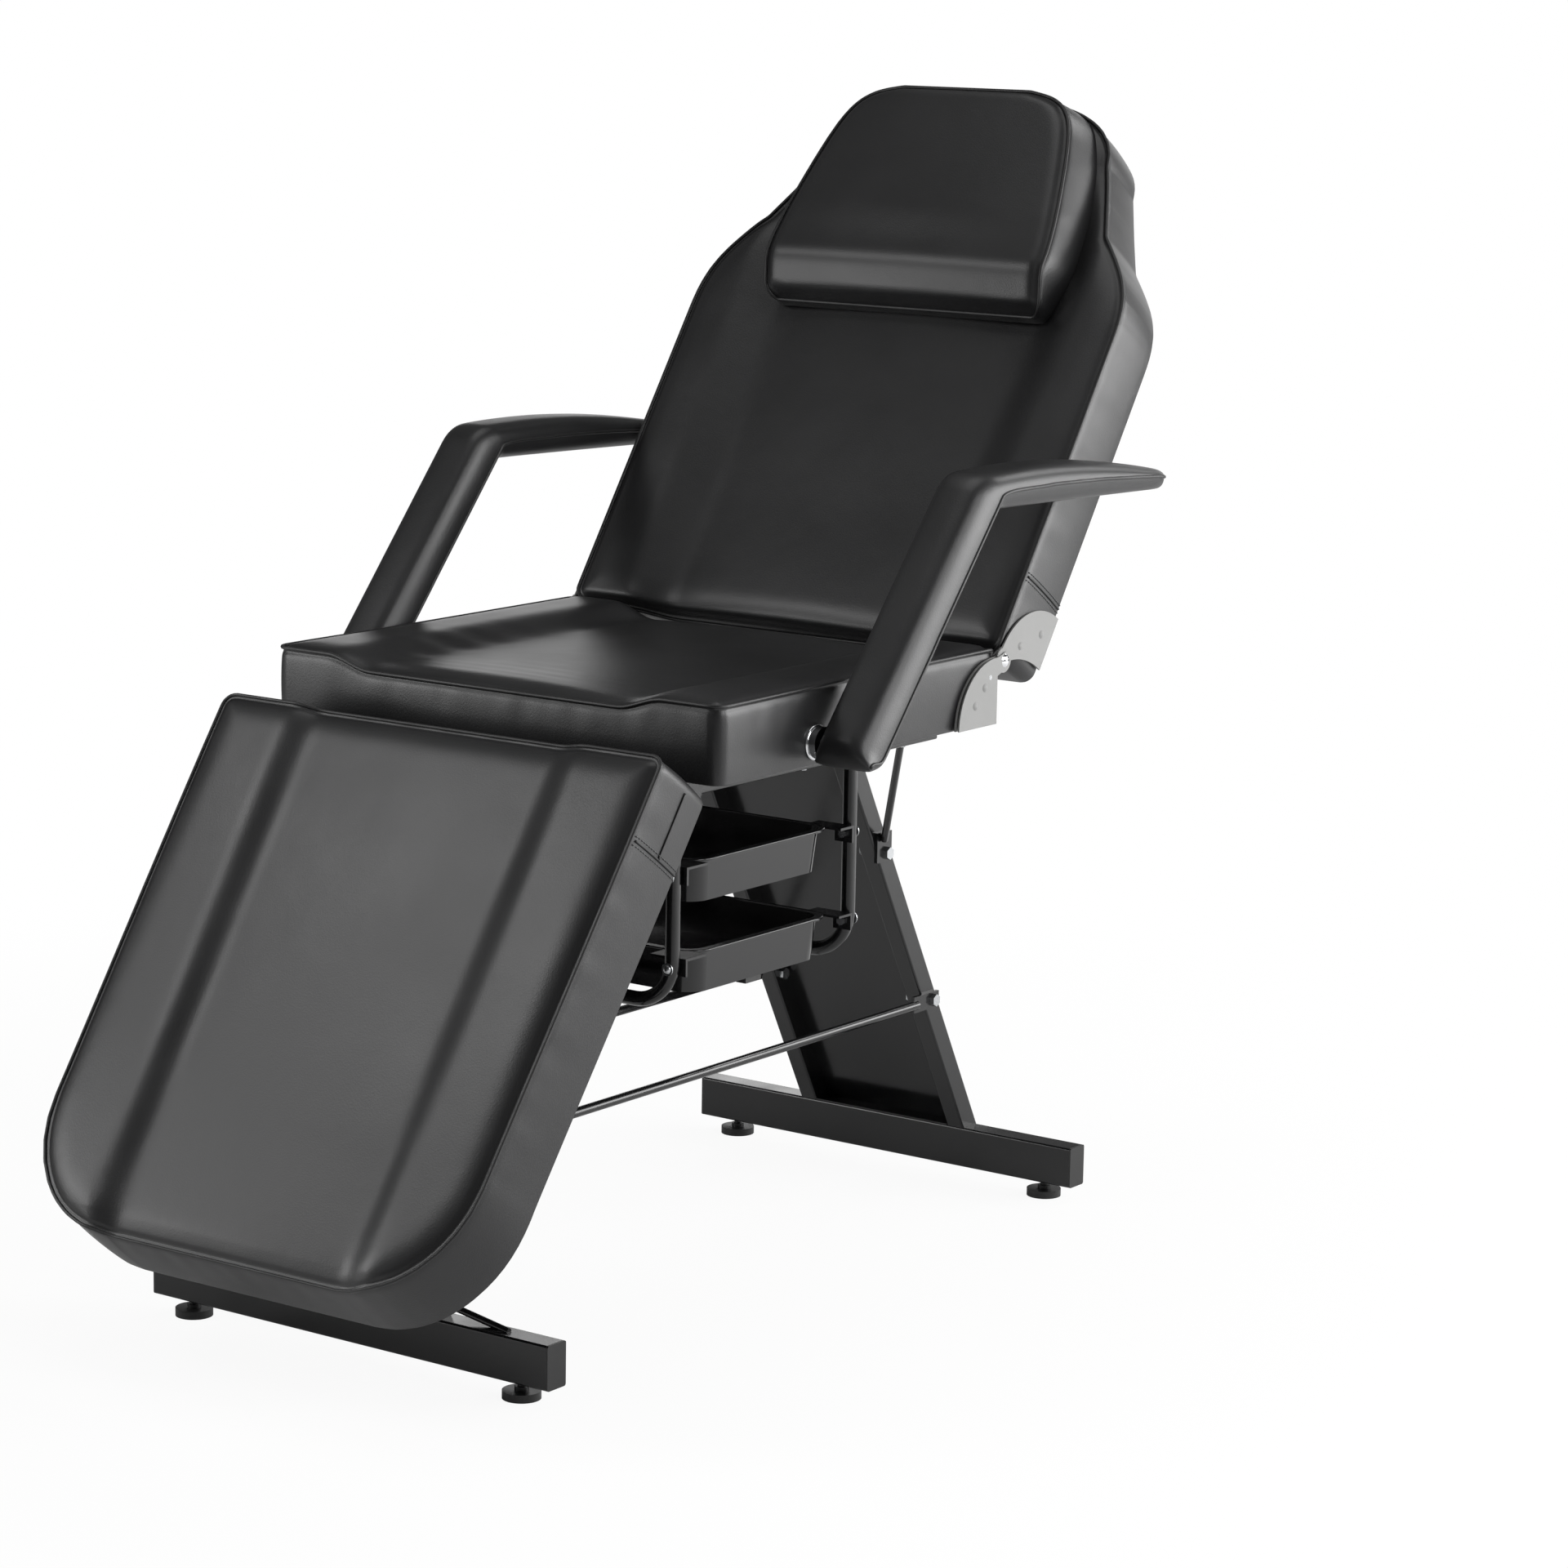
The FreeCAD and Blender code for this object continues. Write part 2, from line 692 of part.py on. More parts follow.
# Trays with lips and ears, their bolts, washers and nuts
def tray_at(lip_z):
    """Open tray with its lip, ears and bolt holes."""
    low = lip_z - tray_depth
    outer = Part.makeLoft([rounded_frame(tray_half_width, tray_front_y, tray_rear_y, lip_z, tray_corner),
                           rounded_frame(tray_half_width - tray_draft, tray_front_y + tray_draft,
                                         tray_rear_y - tray_draft, low, tray_corner)], True, True)
    x = tray_half_width - tray_wall
    inner = Part.makeLoft([rounded_frame(x, tray_front_y + tray_wall, tray_rear_y - tray_wall, lip_z,
                                         tray_corner - tray_wall),
                           rounded_frame(x - tray_draft, tray_front_y + tray_wall + tray_draft,
                                         tray_rear_y - tray_wall - tray_draft, low + tray_wall,
                                         tray_corner - tray_wall)], True, True)
    lip_wire = rounded_frame(tray_half_width + tray_lip, tray_front_y - tray_lip, tray_rear_y + tray_lip,
                             lip_z - tray_lip_thick, tray_corner + tray_lip)
    lip = Part.Face(lip_wire).extrude(V(0, 0, tray_lip_thick))
    pieces = [outer, lip]
    for y, front in ((hanger_front_y + hanger_radius, 1), (hanger_rear_y - hanger_radius, -1)):
        edge_y = tray_front_y if front > 0 else tray_rear_y
        arm = box(rail_x - 3 * ear_half_width, rail_x + ear_half_width, y, edge_y,
                  lip_z - tray_lip_thick, lip_z)
        ear = box(rail_x - ear_half_width, rail_x + ear_half_width, y, y + front * ear_thick,
                  lip_z - ear_height, lip_z)
        pieces += both_x([arm, ear])
    return fuse(pieces).cut(inner)


tray_fixings = {"tray_bolts": [], "tray_washers": [], "tray_nuts": []}
hanger_holes = []
trays = []
for lip_z in (tray_lip_z, tray_lip_z - tray_pitch):
    tray = tray_at(lip_z)
    bolt_z = lip_z - ear_height / 2
    for leg_y, front in ((hanger_front_y, 1), (hanger_rear_y, -1)):
        touch = V(rail_x, leg_y - front * hanger_radius, bolt_z)
        seat = touch - V(0, front * small_washer_thick, 0)
        ear_face = V(rail_x, leg_y + front * (hanger_radius + ear_thick), bolt_z)
        end = ear_face + V(0, front * small_nut_height, 0)
        bolt = domed_bolt(seat, end, small_radius, small_head_radius, small_head_height)
        washer = ring(seat, touch, small_washer_radius, small_radius + running_gap)
        small_nut = nut(ear_face, end, small_head_radius, small_radius + running_gap)
        hole = rod(seat, end, small_radius + running_gap)
        tray_fixings["tray_bolts"] += both_x([bolt])
        tray_fixings["tray_washers"] += both_x([washer])
        tray_fixings["tray_nuts"] += both_x([small_nut])
        hanger_holes += both_x([hole])
    trays.append(cut(tray, hanger_holes))
write("upper_tray", [trays[0]])
write("lower_tray", [trays[1]])
for node, shapes in tray_fixings.items():
    write(node, shapes)
hangers = []
for y in (hanger_front_y, hanger_rear_y):
    tube = hanger(y, hanger_radius).cut(hanger(y, hanger_radius - hanger_wall))
    hangers.append(cut(tube, hanger_holes))
write("tray_hangers", hangers)
catch_top = tray_lip_z - tray_pitch - tray_depth
catch_x = tray_half_width - 2 * tray_draft
catch_y = (tray_front_y + tray_rear_y) / 2
catch = box(catch_x - catch_depth, catch_x, catch_y - catch_length / 2, catch_y + catch_length / 2,
            catch_top - catch_height, catch_top)
write("tray_catch", [catch])

# Seat cushion and the parts inside it
seat_length = seat_rear_y - seat_front_y
seat_plan = Part.Face(rounded_frame(seat_half + plan_margin, seat_front_y, seat_rear_y, frame_top_z,
                                    plan_round))
seat_body = cushion_section(seat_half, seat_thick, seat_front_y, seat_length)
seat_body = seat_body.common(cushion_side(seat_half, seat_thick, seat_front_y, seat_rear_y, front_round,
                                          end_round))
seat_body.translate(V(0, 0, seat_top_z))
seat_body = seat_body.common(seat_plan.extrude(V(0, 0, seat_thick + 2 * cushion_puff)))
board_x = seat_half - skirt
board_plan = rounded_frame(board_x, seat_front_y + skirt, seat_rear_y - skirt, frame_top_z,
                           plan_round - skirt)
seat_board = Part.Face(board_plan).extrude(V(0, 0, board_thick))
seat_batten = box(board_x - batten_width, board_x, seat_front_y + plan_round, seat_rear_y - plan_round,
                  board_top_z, board_top_z + batten_height)
seat_battens = both_x([seat_batten])
seat_body = cut(seat_body, [seat_board] + seat_battens)
seat_board = cut(seat_board, both_x(board_holes))

# Hinge geometry at both sides of the seat and the backrest
pivot = V(0, seat_rear_y + pivot_offset, seat_top_z - pivot_inset)
layer_1 = seat_half + layer_gap
layer_2 = layer_1 + hinge_plate + layer_gap
layer_3 = layer_2 + hinge_plate + layer_gap
cover_out = layer_3 + hinge_cover


def along_x(x0, x1, y, z, radius):
    """Round bar across, between two distances from the middle plane."""
    return rod(V(x0, y, z), V(x1, y, z), radius)


def seat_plate(x0, x1):
    """Quarter disc at the rear end of the seat side with an ear at the pivot."""
    y = seat_rear_y - seat_disc_inset
    z = frame_top_z
    k = seat_disc_radius * round_share
    disc = sweep([line(V(x0, y, z), V(x0, y, z + seat_disc_radius)),
                  bend(V(x0, y, z + seat_disc_radius), V(x0, y - k, z + k), V(x0, y - seat_disc_radius, z)),
                  line(V(x0, y - seat_disc_radius, z), V(x0, y, z))], V(x1 - x0, 0, 0))
    neck = polygon([V(x0, pivot.y, pivot.z + ear_radius), V(x0, y - ear_radius, pivot.z + hinge_plate),
                    V(x0, y - ear_radius, pivot.z - 2 * ear_radius), V(x0, pivot.y, pivot.z - ear_radius)],
                   V(x1 - x0, 0, 0))
    return fuse([disc, neck, along_x(x0, x1, pivot.y, pivot.z, ear_radius)])


def back_plate():
    """Plate on the backrest side with a round outer edge and a toothed ear at the pivot."""
    x = layer_2
    z = -back_thick
    outer = back_ring_outer
    root = V(x, 0, -back_plate_root_depth)
    low = V(x, back_plate_in, z)
    edges = [line(low, V(x, outer, z))]
    middle = V(x, outer * round_share, z + outer * round_share)
    edges.append(bend(V(x, outer, z), middle, V(x, 0, z + outer)))
    edges.append(line(V(x, 0, z + outer), root))
    edges.append(bend(root, V(x, back_plate_waist, -back_plate_waist_depth), low))
    sector = lay_back(sweep(edges, V(hinge_plate, 0, 0)))
    hub_radius = tooth_radius - tooth_depth
    hub = along_x(x, x + hinge_plate, pivot.y, pivot.z, hub_radius)
    teeth = toothed_fan(pivot.y, pivot.z, x, tooth_radius, tooth_depth, back_tooth_start,
                        back_tooth_span, back_teeth, hinge_plate)
    return fuse([sector, hub, teeth])


pin_hole = along_x(0, seat_half + arm_gap, pivot.y, pivot.z, pin_radius + running_gap)
pin = fuse([along_x(layer_1, cover_out, pivot.y, pivot.z, pin_radius),
            domed_head(V(cover_out, pivot.y, pivot.z), V(1, 0, 0), pin_head_radius, pin_head_height),
            along_x(layer_1 - pin_tail_height, layer_1, pivot.y, pivot.z, pin_tail_radius)])
pawl_tip_y = pivot.y - tooth_radius - layer_gap
pawl_y = pawl_tip_y - pawl_reach_y
pawl_z = pivot.z - pawl_reach_z
pawl = pawl_lever(pawl_y, pawl_z, pawl_tip_y, pivot.z, layer_2, hinge_plate)
pawl_pin = along_x(layer_1, cover_out, pawl_y, pawl_z, pawl_pin_radius)
hinge_screws = []
hinge_tools = []
spacers = []
for share in (1 / 3, 2 / 3):
    turn = share * math.pi / 2
    y = seat_rear_y - seat_disc_inset - hinge_screw_pitch * math.cos(turn)
    z = frame_top_z + hinge_screw_pitch * math.sin(turn)
    seat = V(cover_out, y, z)
    hinge_screws.append(domed_bolt(seat, seat - V(hinge_screw_length, 0, 0), hinge_screw_radius,
                                   hinge_screw_head, hinge_screw_head_height))
    hinge_tools.append(rod(seat, seat - V(hinge_screw_length, 0, 0), hinge_screw_radius))
    spacers.append(ring(V(layer_1 + hinge_plate, y, z), V(layer_3, y, z), spacer_radius,
                        hinge_screw_radius))
seat_hinge_plate = cut(seat_plate(layer_1, layer_1 + hinge_plate), hinge_tools + [pin_hole, pawl_pin])
seat_hinge_cover = cut(seat_plate(layer_3, cover_out), hinge_tools + [pin_hole, pawl_pin])
back_hinge_plate = back_plate().cut(pin_hole)
write("hinge_pins", both_x([pin]))
write("pawl_pins", both_x([pawl_pin]))
write("seat_hinge_screws", both_x(hinge_screws))
write("hinge_spacers", both_x(spacers))
write("seat_hinge_plates", both_x([seat_hinge_plate]))
write("seat_hinge_covers", both_x([seat_hinge_cover]))
for side, place in (("right", lambda s: s), ("left", flip_x)):
    write("back_pawl_" + side, [place(pawl)])
seat_body = cut(seat_body, both_x(hinge_tools))
seat_battens = cut(seat_battens[0], hinge_tools)

# Arms on pivot studs at the sides of the seat
arm_in = seat_half + arm_gap
arm_out = arm_in + arm_width


def offset_point(y, z, along, across, run, side):
    """Point from (y, z) by run along one direction and side across it."""
    return V(arm_in, y + run * along[0] + side * across[0], z + run * along[1] + side * across[1])


def meet(p, d, q, e):
    """Point where two lines in the side view meet, from points and directions."""
    det = d[0] * e[1] - d[1] * e[0]
    t = ((q.y - p.y) * e[1] - (q.z - p.z) * e[0]) / det
    return V(p.x, p.y + t * d[0], p.z + t * d[1])


def arm_outline(shrink, short):
    """Closed side view of post and pad, shrunk evenly and cut short at the tip."""
    rise = (arm_elbow_y - arm_pivot_y, arm_elbow_z - arm_pivot_z)
    rise_length = math.hypot(rise[0], rise[1])
    up = (rise[0] / rise_length, rise[1] / rise_length)
    out = (-up[1], up[0])
    reach = (arm_tip_y - arm_elbow_y, arm_tip_z - arm_elbow_z)
    reach_length = math.hypot(reach[0], reach[1])
    taper = math.atan2(arm_elbow_half - arm_tip_half, reach_length)
    slope = math.atan2(reach[1], reach[0])
    rise_angle = math.radians(arm_top_angle)
    top = (math.cos(rise_angle), math.sin(rise_angle))
    low = (math.cos(slope + taper), math.sin(slope + taper))
    half = arm_half_thick - shrink
    elbow = arm_elbow_half - shrink
    tip = arm_tip_half - shrink
    level = (math.cos(slope), math.sin(slope))
    above = (-level[1], level[0])
    foot_out = offset_point(arm_pivot_y, arm_pivot_z, up, out, 0, half)
    foot_in = offset_point(arm_pivot_y, arm_pivot_z, up, out, 0, -half)
    foot_low = offset_point(arm_pivot_y, arm_pivot_z, up, out, -half, 0)
    turn = half * round_share
    foot_a = offset_point(arm_pivot_y, arm_pivot_z, up, out, -turn, turn)
    foot_b = offset_point(arm_pivot_y, arm_pivot_z, up, out, -turn, -turn)
    top_near = offset_point(arm_elbow_y, arm_elbow_z, level, above, 0, elbow)
    low_near = offset_point(arm_elbow_y, arm_elbow_z, level, above, 0, -elbow)
    end_run = reach_length - tip - shrink - short
    top_far = offset_point(arm_elbow_y, arm_elbow_z, level, above, end_run, tip)
    low_far = offset_point(arm_elbow_y, arm_elbow_z, level, above, end_run, -tip)
    tip_end = offset_point(arm_elbow_y, arm_elbow_z, level, above, end_run + tip, 0)
    turn = tip * round_share
    tip_a = offset_point(arm_elbow_y, arm_elbow_z, level, above, end_run + turn, turn)
    tip_b = offset_point(arm_elbow_y, arm_elbow_z, level, above, end_run + turn, -turn)
    corner = meet(foot_out, up, top_near, top)
    inner = meet(foot_in, up, low_near, low)
    half_turn = (math.atan2(up[1], up[0]) - rise_angle) / 2
    cut_back = arm_elbow_round * math.tan(half_turn)
    start = corner - V(0, cut_back * up[0], cut_back * up[1])
    finish = corner + V(0, cut_back * top[0], cut_back * top[1])
    middle = (start + finish) * (1 / 2)
    outward = (corner - middle).normalize()
    middle = middle + outward * (arm_elbow_round * (1 - math.cos(half_turn)))
    chord = top_far - finish
    fall = rise_angle - math.atan2(chord.z, chord.y)
    crest = (finish + top_far) * (1 / 2)
    crest = crest + V(0, -chord.z, chord.y) * (math.tan(fall / 2) / 2)
    edges = [line(foot_out, start), bend(start, middle, finish), bend(finish, crest, top_far)]
    edges += [bend(top_far, tip_a, tip_end), bend(tip_end, tip_b, low_far), line(low_far, inner)]
    edges += [line(inner, foot_in), bend(foot_in, foot_b, foot_low), bend(foot_low, foot_a, foot_out)]
    return edges


def arm_plan():
    """Plan outline of the arm with its round tip, as a solid past post and pad."""
    r = arm_tip_round
    k = r * (1 - round_share)
    low = arm_pivot_y - 2 * arm_half_thick
    end = arm_tip_y
    edges = [line(V(arm_in, low, 0), V(arm_out, low, 0))]
    edges.append(line(V(arm_out, low, 0), V(arm_out, end - r, 0)))
    edges.append(bend(V(arm_out, end - r, 0), V(arm_out - k, end - k, 0), V(arm_out - r, end, 0)))
    edges.append(line(V(arm_out - r, end, 0), V(arm_in + r, end, 0)))
    edges.append(bend(V(arm_in + r, end, 0), V(arm_in + k, end - k, 0), V(arm_in, end - r, 0)))
    edges.append(line(V(arm_in, end - r, 0), V(arm_in, low, 0)))
    return sweep(edges, V(0, 0, arm_elbow_z + 2 * arm_half_thick))


arm_middle = arm_in + arm_width / 2
arm_half = sweep(arm_outline(0, 0), V(arm_width / 2, 0, 0))
rim = [e for e in arm_half.Edges if e.BoundBox.XMin > arm_middle - running_gap]
arm_half = arm_half.makeFillet(arm_edge_round, rim)
inner_half = arm_half.mirror(V(arm_in, 0, 0), V(1, 0, 0))
inner_half.translate(V(arm_width / 2, 0, 0))
arm_half.translate(V(arm_width / 2, 0, 0))
arm_pad = fuse([arm_half, inner_half]).common(arm_plan())
core_in = arm_in + arm_core_cover
core_out = core_in + arm_core_thick
arm_core = sweep(arm_outline(arm_core_inset, arm_core_short), V(arm_core_thick, 0, 0))
arm_core.translate(V(arm_core_cover, 0, 0))
washer_x = core_out + layer_gap
stud_end = washer_x + arm_washer_thick + arm_nut_height
stud_root = seat_half - skirt - batten_width
arm_bore = along_x(arm_in, stud_end, arm_pivot_y, arm_pivot_z, arm_stud_radius + running_gap)
nut_pocket = along_x(core_out, stud_end + arm_nut_height / 2, arm_pivot_y, arm_pivot_z,
                     arm_washer_radius + layer_gap)
arm_pad = cut(arm_pad, [arm_core, nut_pocket, arm_bore])
arm_core = arm_core.cut(arm_bore)
arm_disc = ring(V(seat_half, arm_pivot_y, arm_pivot_z), V(arm_in - running_gap, arm_pivot_y, arm_pivot_z),
                arm_disc_radius, arm_stud_radius + running_gap)
arm_stud = along_x(stud_root, stud_end, arm_pivot_y, arm_pivot_z, arm_stud_radius)
nut_seat = V(washer_x + arm_washer_thick, arm_pivot_y, arm_pivot_z)
arm_washer = ring(V(washer_x, arm_pivot_y, arm_pivot_z), nut_seat, arm_washer_radius, arm_stud_radius)
arm_nut = nut(nut_seat, V(stud_end, arm_pivot_y, arm_pivot_z), arm_nut_radius, arm_stud_radius)
seat_body = cut(seat_body, both_x([arm_stud]))
seat_batten_right = seat_battens.cut(arm_stud)
write("arm_discs", both_x([arm_disc]))
write("arm_studs", both_x([arm_stud]))
write("arm_nuts", both_x([arm_nut, arm_washer]))
for side, place in (("right", lambda s: s), ("left", flip_x)):
    write("arm_pad_" + side, [place(arm_pad)])
    write("arm_core_" + side, [place(arm_core)])
write("seat_cushion", [seat_body])
write("seat_board", [seat_board])
write("seat_battens", both_x([seat_batten_right]))

# Backrest built flat, then leaned back
def back_outline(shrink, z):
    """Plan outline of the backrest, shrunk evenly, as edges."""
    half = back_half + plan_margin - shrink
    r = plan_round
    k = r * (1 - round_share)
    low = shrink
    top = back_length - shrink
    shoulder_x = back_shoulder_x - shrink
    neck_x = back_neck_x - shrink
    crown_x = back_crown_x - shrink
    turn_x = shoulder_x + (half - shoulder_x) * shoulder_turn_shares[0]
    turn_y = back_straight + (back_shoulder_y - back_straight) * shoulder_turn_shares[1]
    head_x = crown_x + (neck_x - crown_x) * round_share
    head_y = back_neck_y + (top - back_neck_y) * round_share
    right = [line(V(0, low, z), V(half - r, low, z))]
    right.append(bend(V(half - r, low, z), V(half - k, low + k, z), V(half, low + r, z)))
    right.append(line(V(half, low + r, z), V(half, back_straight, z)))
    right.append(bend(V(half, back_straight, z), V(turn_x, turn_y, z), V(shoulder_x, back_shoulder_y, z)))
    right.append(line(V(shoulder_x, back_shoulder_y, z), V(neck_x, back_neck_y, z)))
    right.append(bend(V(neck_x, back_neck_y, z), V(head_x, head_y, z), V(crown_x, top, z)))
    right.append(line(V(crown_x, top, z), V(0, top, z)))
    left = [flip_x(e) for e in right]
    return right + left


back_body = cushion_section(back_half, back_thick, 0, back_length)
back_body = back_body.common(cushion_side(back_half, back_thick, 0, back_length, end_round, front_round))
back_body = back_body.common(plan_solid(back_outline(0, -back_thick), back_thick, 2 * cushion_puff))
board_plan = back_outline(back_board_inset, -back_thick)
back_board = sweep(board_plan, V(0, 0, board_thick))
batten_x = back_half - skirt
batten_low = board_thick - back_thick
back_batten = box(batten_x - batten_width, batten_x, back_batten_start, back_batten_end, batten_low,
                  batten_low + batten_height)
plan_keep = plan_solid(back_outline(skirt, -back_thick), back_thick, 0)
back_batten = back_batten.common(plan_keep)
back_screws = []
back_tools = []
for share in (1 / 4, 3 / 4):
    turn = share * math.pi / 2
    y = back_screw_reach * math.cos(turn)
    z = back_screw_reach * math.sin(turn) - back_thick
    spot = lay_back(Part.Vertex(V(0, y, z))).Point
    seat = V(layer_2 + hinge_plate, spot.y, spot.z)
    back_screws.append(domed_bolt(seat, seat - V(hinge_screw_length, 0, 0), hinge_screw_radius,
                                  hinge_screw_head, hinge_screw_head_height))
    back_tools.append(rod(seat, seat - V(hinge_screw_length, 0, 0), hinge_screw_radius))
back_body = cut(back_body, [back_board] + both_x([back_batten]))
back_cover = sweep(back_outline(back_board_inset, -back_thick), V(0, 0, -cover_thick))
write("back_cushion", [cut(lay_back(back_body), both_x(back_tools))])
write("back_board", [lay_back(back_board)])
write("back_battens", both_x([cut(lay_back(back_batten), back_tools)]))
write("back_cover", [lay_back(back_cover)])
write("back_hinge_plates", both_x([cut(back_hinge_plate, back_tools)]))
write("back_hinge_screws", both_x(back_screws))

# Head pillow and its strap
pillow_low = cushion_crown - cushion_dish + pillow_gap
wall = pillow_low + pillow_wall
foot_wall = pillow_low + pillow_foot_wall
r = plan_round
k = r * (1 - round_share)
side_foot = V(pillow_half, pillow_start + r, pillow_low)
shoulder = V(pillow_half, pillow_shoulder_y, pillow_low)
neck = V(pillow_neck_x, pillow_neck_y, pillow_low)
top_corner = V(pillow_top_x, pillow_end, pillow_low)
foot_corner = V(pillow_half - r, pillow_start, pillow_low)
right = [line(V(0, pillow_start, pillow_low), foot_corner)]
right.append(bend(foot_corner, V(pillow_half - k, pillow_start + k, pillow_low), side_foot))
right.append(line(side_foot, shoulder))
right.append(bow(shoulder, neck, pillow_side_swell))
right.append(bow(neck, top_corner, pillow_top_swell))
right.append(line(top_corner, V(0, pillow_end, pillow_low)))
pillow_plan = sweep(right + [flip_x(e) for e in right], V(0, 0, 3 * wall))
crease = pillow_start + pillow_roll_length
x = -pillow_half
side = [line(V(x, pillow_start, pillow_low), V(x, pillow_end, pillow_low))]
side.append(line(V(x, pillow_end, pillow_low), V(x, pillow_end, wall)))
side.append(bend(V(x, pillow_end, wall), V(x, (crease + pillow_end) / 2, wall + pillow_crown),
                 V(x, crease, wall)))
side.append(bend(V(x, crease, wall),
                 V(x, (crease + pillow_start) / 2, (wall + foot_wall) / 2 + pillow_roll_swell),
                 V(x, pillow_start, foot_wall)))
side.append(line(V(x, pillow_start, foot_wall), V(x, pillow_start, pillow_low)))
pillow = sweep(side, V(2 * pillow_half, 0, 0)).common(pillow_plan)
z = pillow_low
cross_edges = [line(V(-pillow_half, 0, z), V(pillow_half, 0, z))]
cross_edges.append(line(V(pillow_half, 0, z), V(pillow_half, 0, wall)))
cross_edges.append(bend(V(pillow_half, 0, wall), V(0, 0, wall + 2 * pillow_crown),
                        V(-pillow_half, 0, wall)))
cross_edges.append(line(V(-pillow_half, 0, wall), V(-pillow_half, 0, z)))
pillow = pillow.common(sweep(cross_edges, V(0, back_length, 0)))
strap_out = back_length + pillow_gap + strap_thick
strap_low = -back_thick - cover_thick
strap_face = pillow_low + strap_thick
strap = fuse([box(-strap_half_width, strap_half_width, pillow_end, strap_out, pillow_low, strap_face),
              box(-strap_half_width, strap_half_width, strap_out - strap_thick, strap_out,
                  strap_low - strap_thick, strap_face),
              box(-strap_half_width, strap_half_width, strap_out - strap_tail, strap_out,
                  strap_low - strap_thick, strap_low)])
write("head_pillow", [lay_back(pillow)])
write("pillow_strap", [lay_back(strap)])

# Leg rest built flat, then hung from the front of the seat frame
def leg_outline(shrink, z):
    """Plan outline of the leg rest, shrunk evenly, as edges."""
    half = leg_half + plan_margin - shrink
    r = plan_round
    k = r * (1 - round_share)
    c = leg_corner - shrink
    m = c * (1 - round_share)
    low = shrink
    far = leg_length - shrink
    right = [line(V(0, low, z), V(half - r, low, z))]
    right.append(bend(V(half - r, low, z), V(half - k, low + k, z), V(half, low + r, z)))
    right.append(line(V(half, low + r, z), V(half, far - c, z)))
    right.append(bend(V(half, far - c, z), V(half - m, far - m, z), V(half - c, far, z)))
    right.append(line(V(half - c, far, z), V(0, far, z)))
    return right + [flip_x(e) for e in right]


leg_body = cushion_section(leg_half, leg_thick, 0, leg_length)
leg_body = leg_body.common(cushion_side(leg_half, leg_thick, 0, leg_length, front_round, front_round))
leg_body = leg_body.common(plan_solid(leg_outline(0, -leg_thick), leg_thick, 2 * cushion_puff))
leg_board = sweep(leg_outline(back_board_inset, -leg_thick), V(0, 0, board_thick))
leg_body = leg_body.cut(leg_board)
leg_cover = sweep(leg_outline(back_board_inset, -leg_thick), V(0, 0, -cover_thick))

# Leg rest hinge: brackets on the rails, plates on the leg rest, pins and a pawl
rail_out = rail_x + frame_tube / 2
bracket_out = rail_out + leg_bracket
plate_in = bracket_out + layer_gap
plate_out = plate_in + leg_plate
rear = rail_front_y + leg_bracket_length
bottom = frame_top_z - leg_bracket_drop
bracket = polygon([V(rail_out, leg_pivot_y, leg_pivot_z - leg_ear_radius),
                   V(rail_out, rail_front_y - leg_ear_radius, bottom),
                   V(rail_out, rear - leg_web_depth, bottom),
                   V(rail_out, rear, frame_bottom_z), V(rail_out, rear, frame_top_z),
                   V(rail_out, rail_front_y, frame_top_z), V(rail_out, leg_pivot_y, leg_pivot_z)],
                  V(leg_bracket, 0, 0))
bracket = fuse([bracket, along_x(rail_out, bracket_out, leg_pivot_y, leg_pivot_z, leg_ear_radius)])
leg_pin_hole = along_x(rail_out - leg_bracket, plate_out + leg_bracket, leg_pivot_y, leg_pivot_z,
                       pin_radius + running_gap)
aim = math.radians(leg_pawl_angle)
reach = leg_tooth_radius + layer_gap
leg_tip_y = leg_pivot_y + reach * math.cos(aim)
leg_tip_z = leg_pivot_z + reach * math.sin(aim)
leg_pawl_y = leg_tip_y + leg_pawl_reach_y
leg_pawl_z = leg_tip_z - leg_pawl_reach_z
leg_pawl = pawl_lever(leg_pawl_y, leg_pawl_z, leg_tip_y, leg_tip_z, plate_in, leg_plate)
leg_pawl_pin = fuse([along_x(rail_out, plate_out + layer_gap, leg_pawl_y, leg_pawl_z, pawl_pin_radius),
                     along_x(plate_out + layer_gap, plate_out + hinge_plate, leg_pawl_y, leg_pawl_z,
                             pawl_radius)])
leg_pin = fuse([along_x(rail_out, plate_out + layer_gap, leg_pivot_y, leg_pivot_z, pin_radius),
                domed_head(V(plate_out + layer_gap, leg_pivot_y, leg_pivot_z), V(1, 0, 0), leg_ear_radius,
                           pin_head_height),
                along_x(rail_out - pin_tail_height, rail_out, leg_pivot_y, leg_pivot_z, pin_tail_radius)])
bracket_right = cut(bracket, [leg_pin_hole, leg_pawl_pin])
bracket_left = flip_x(bracket.cut(leg_pin_hole))
write("leg_hinge_brackets", [bracket_right, bracket_left])
write("leg_hinge_pins", both_x([leg_pin]))
write("leg_pawl_pin", [leg_pawl_pin])
write("leg_pawl", [leg_pawl])

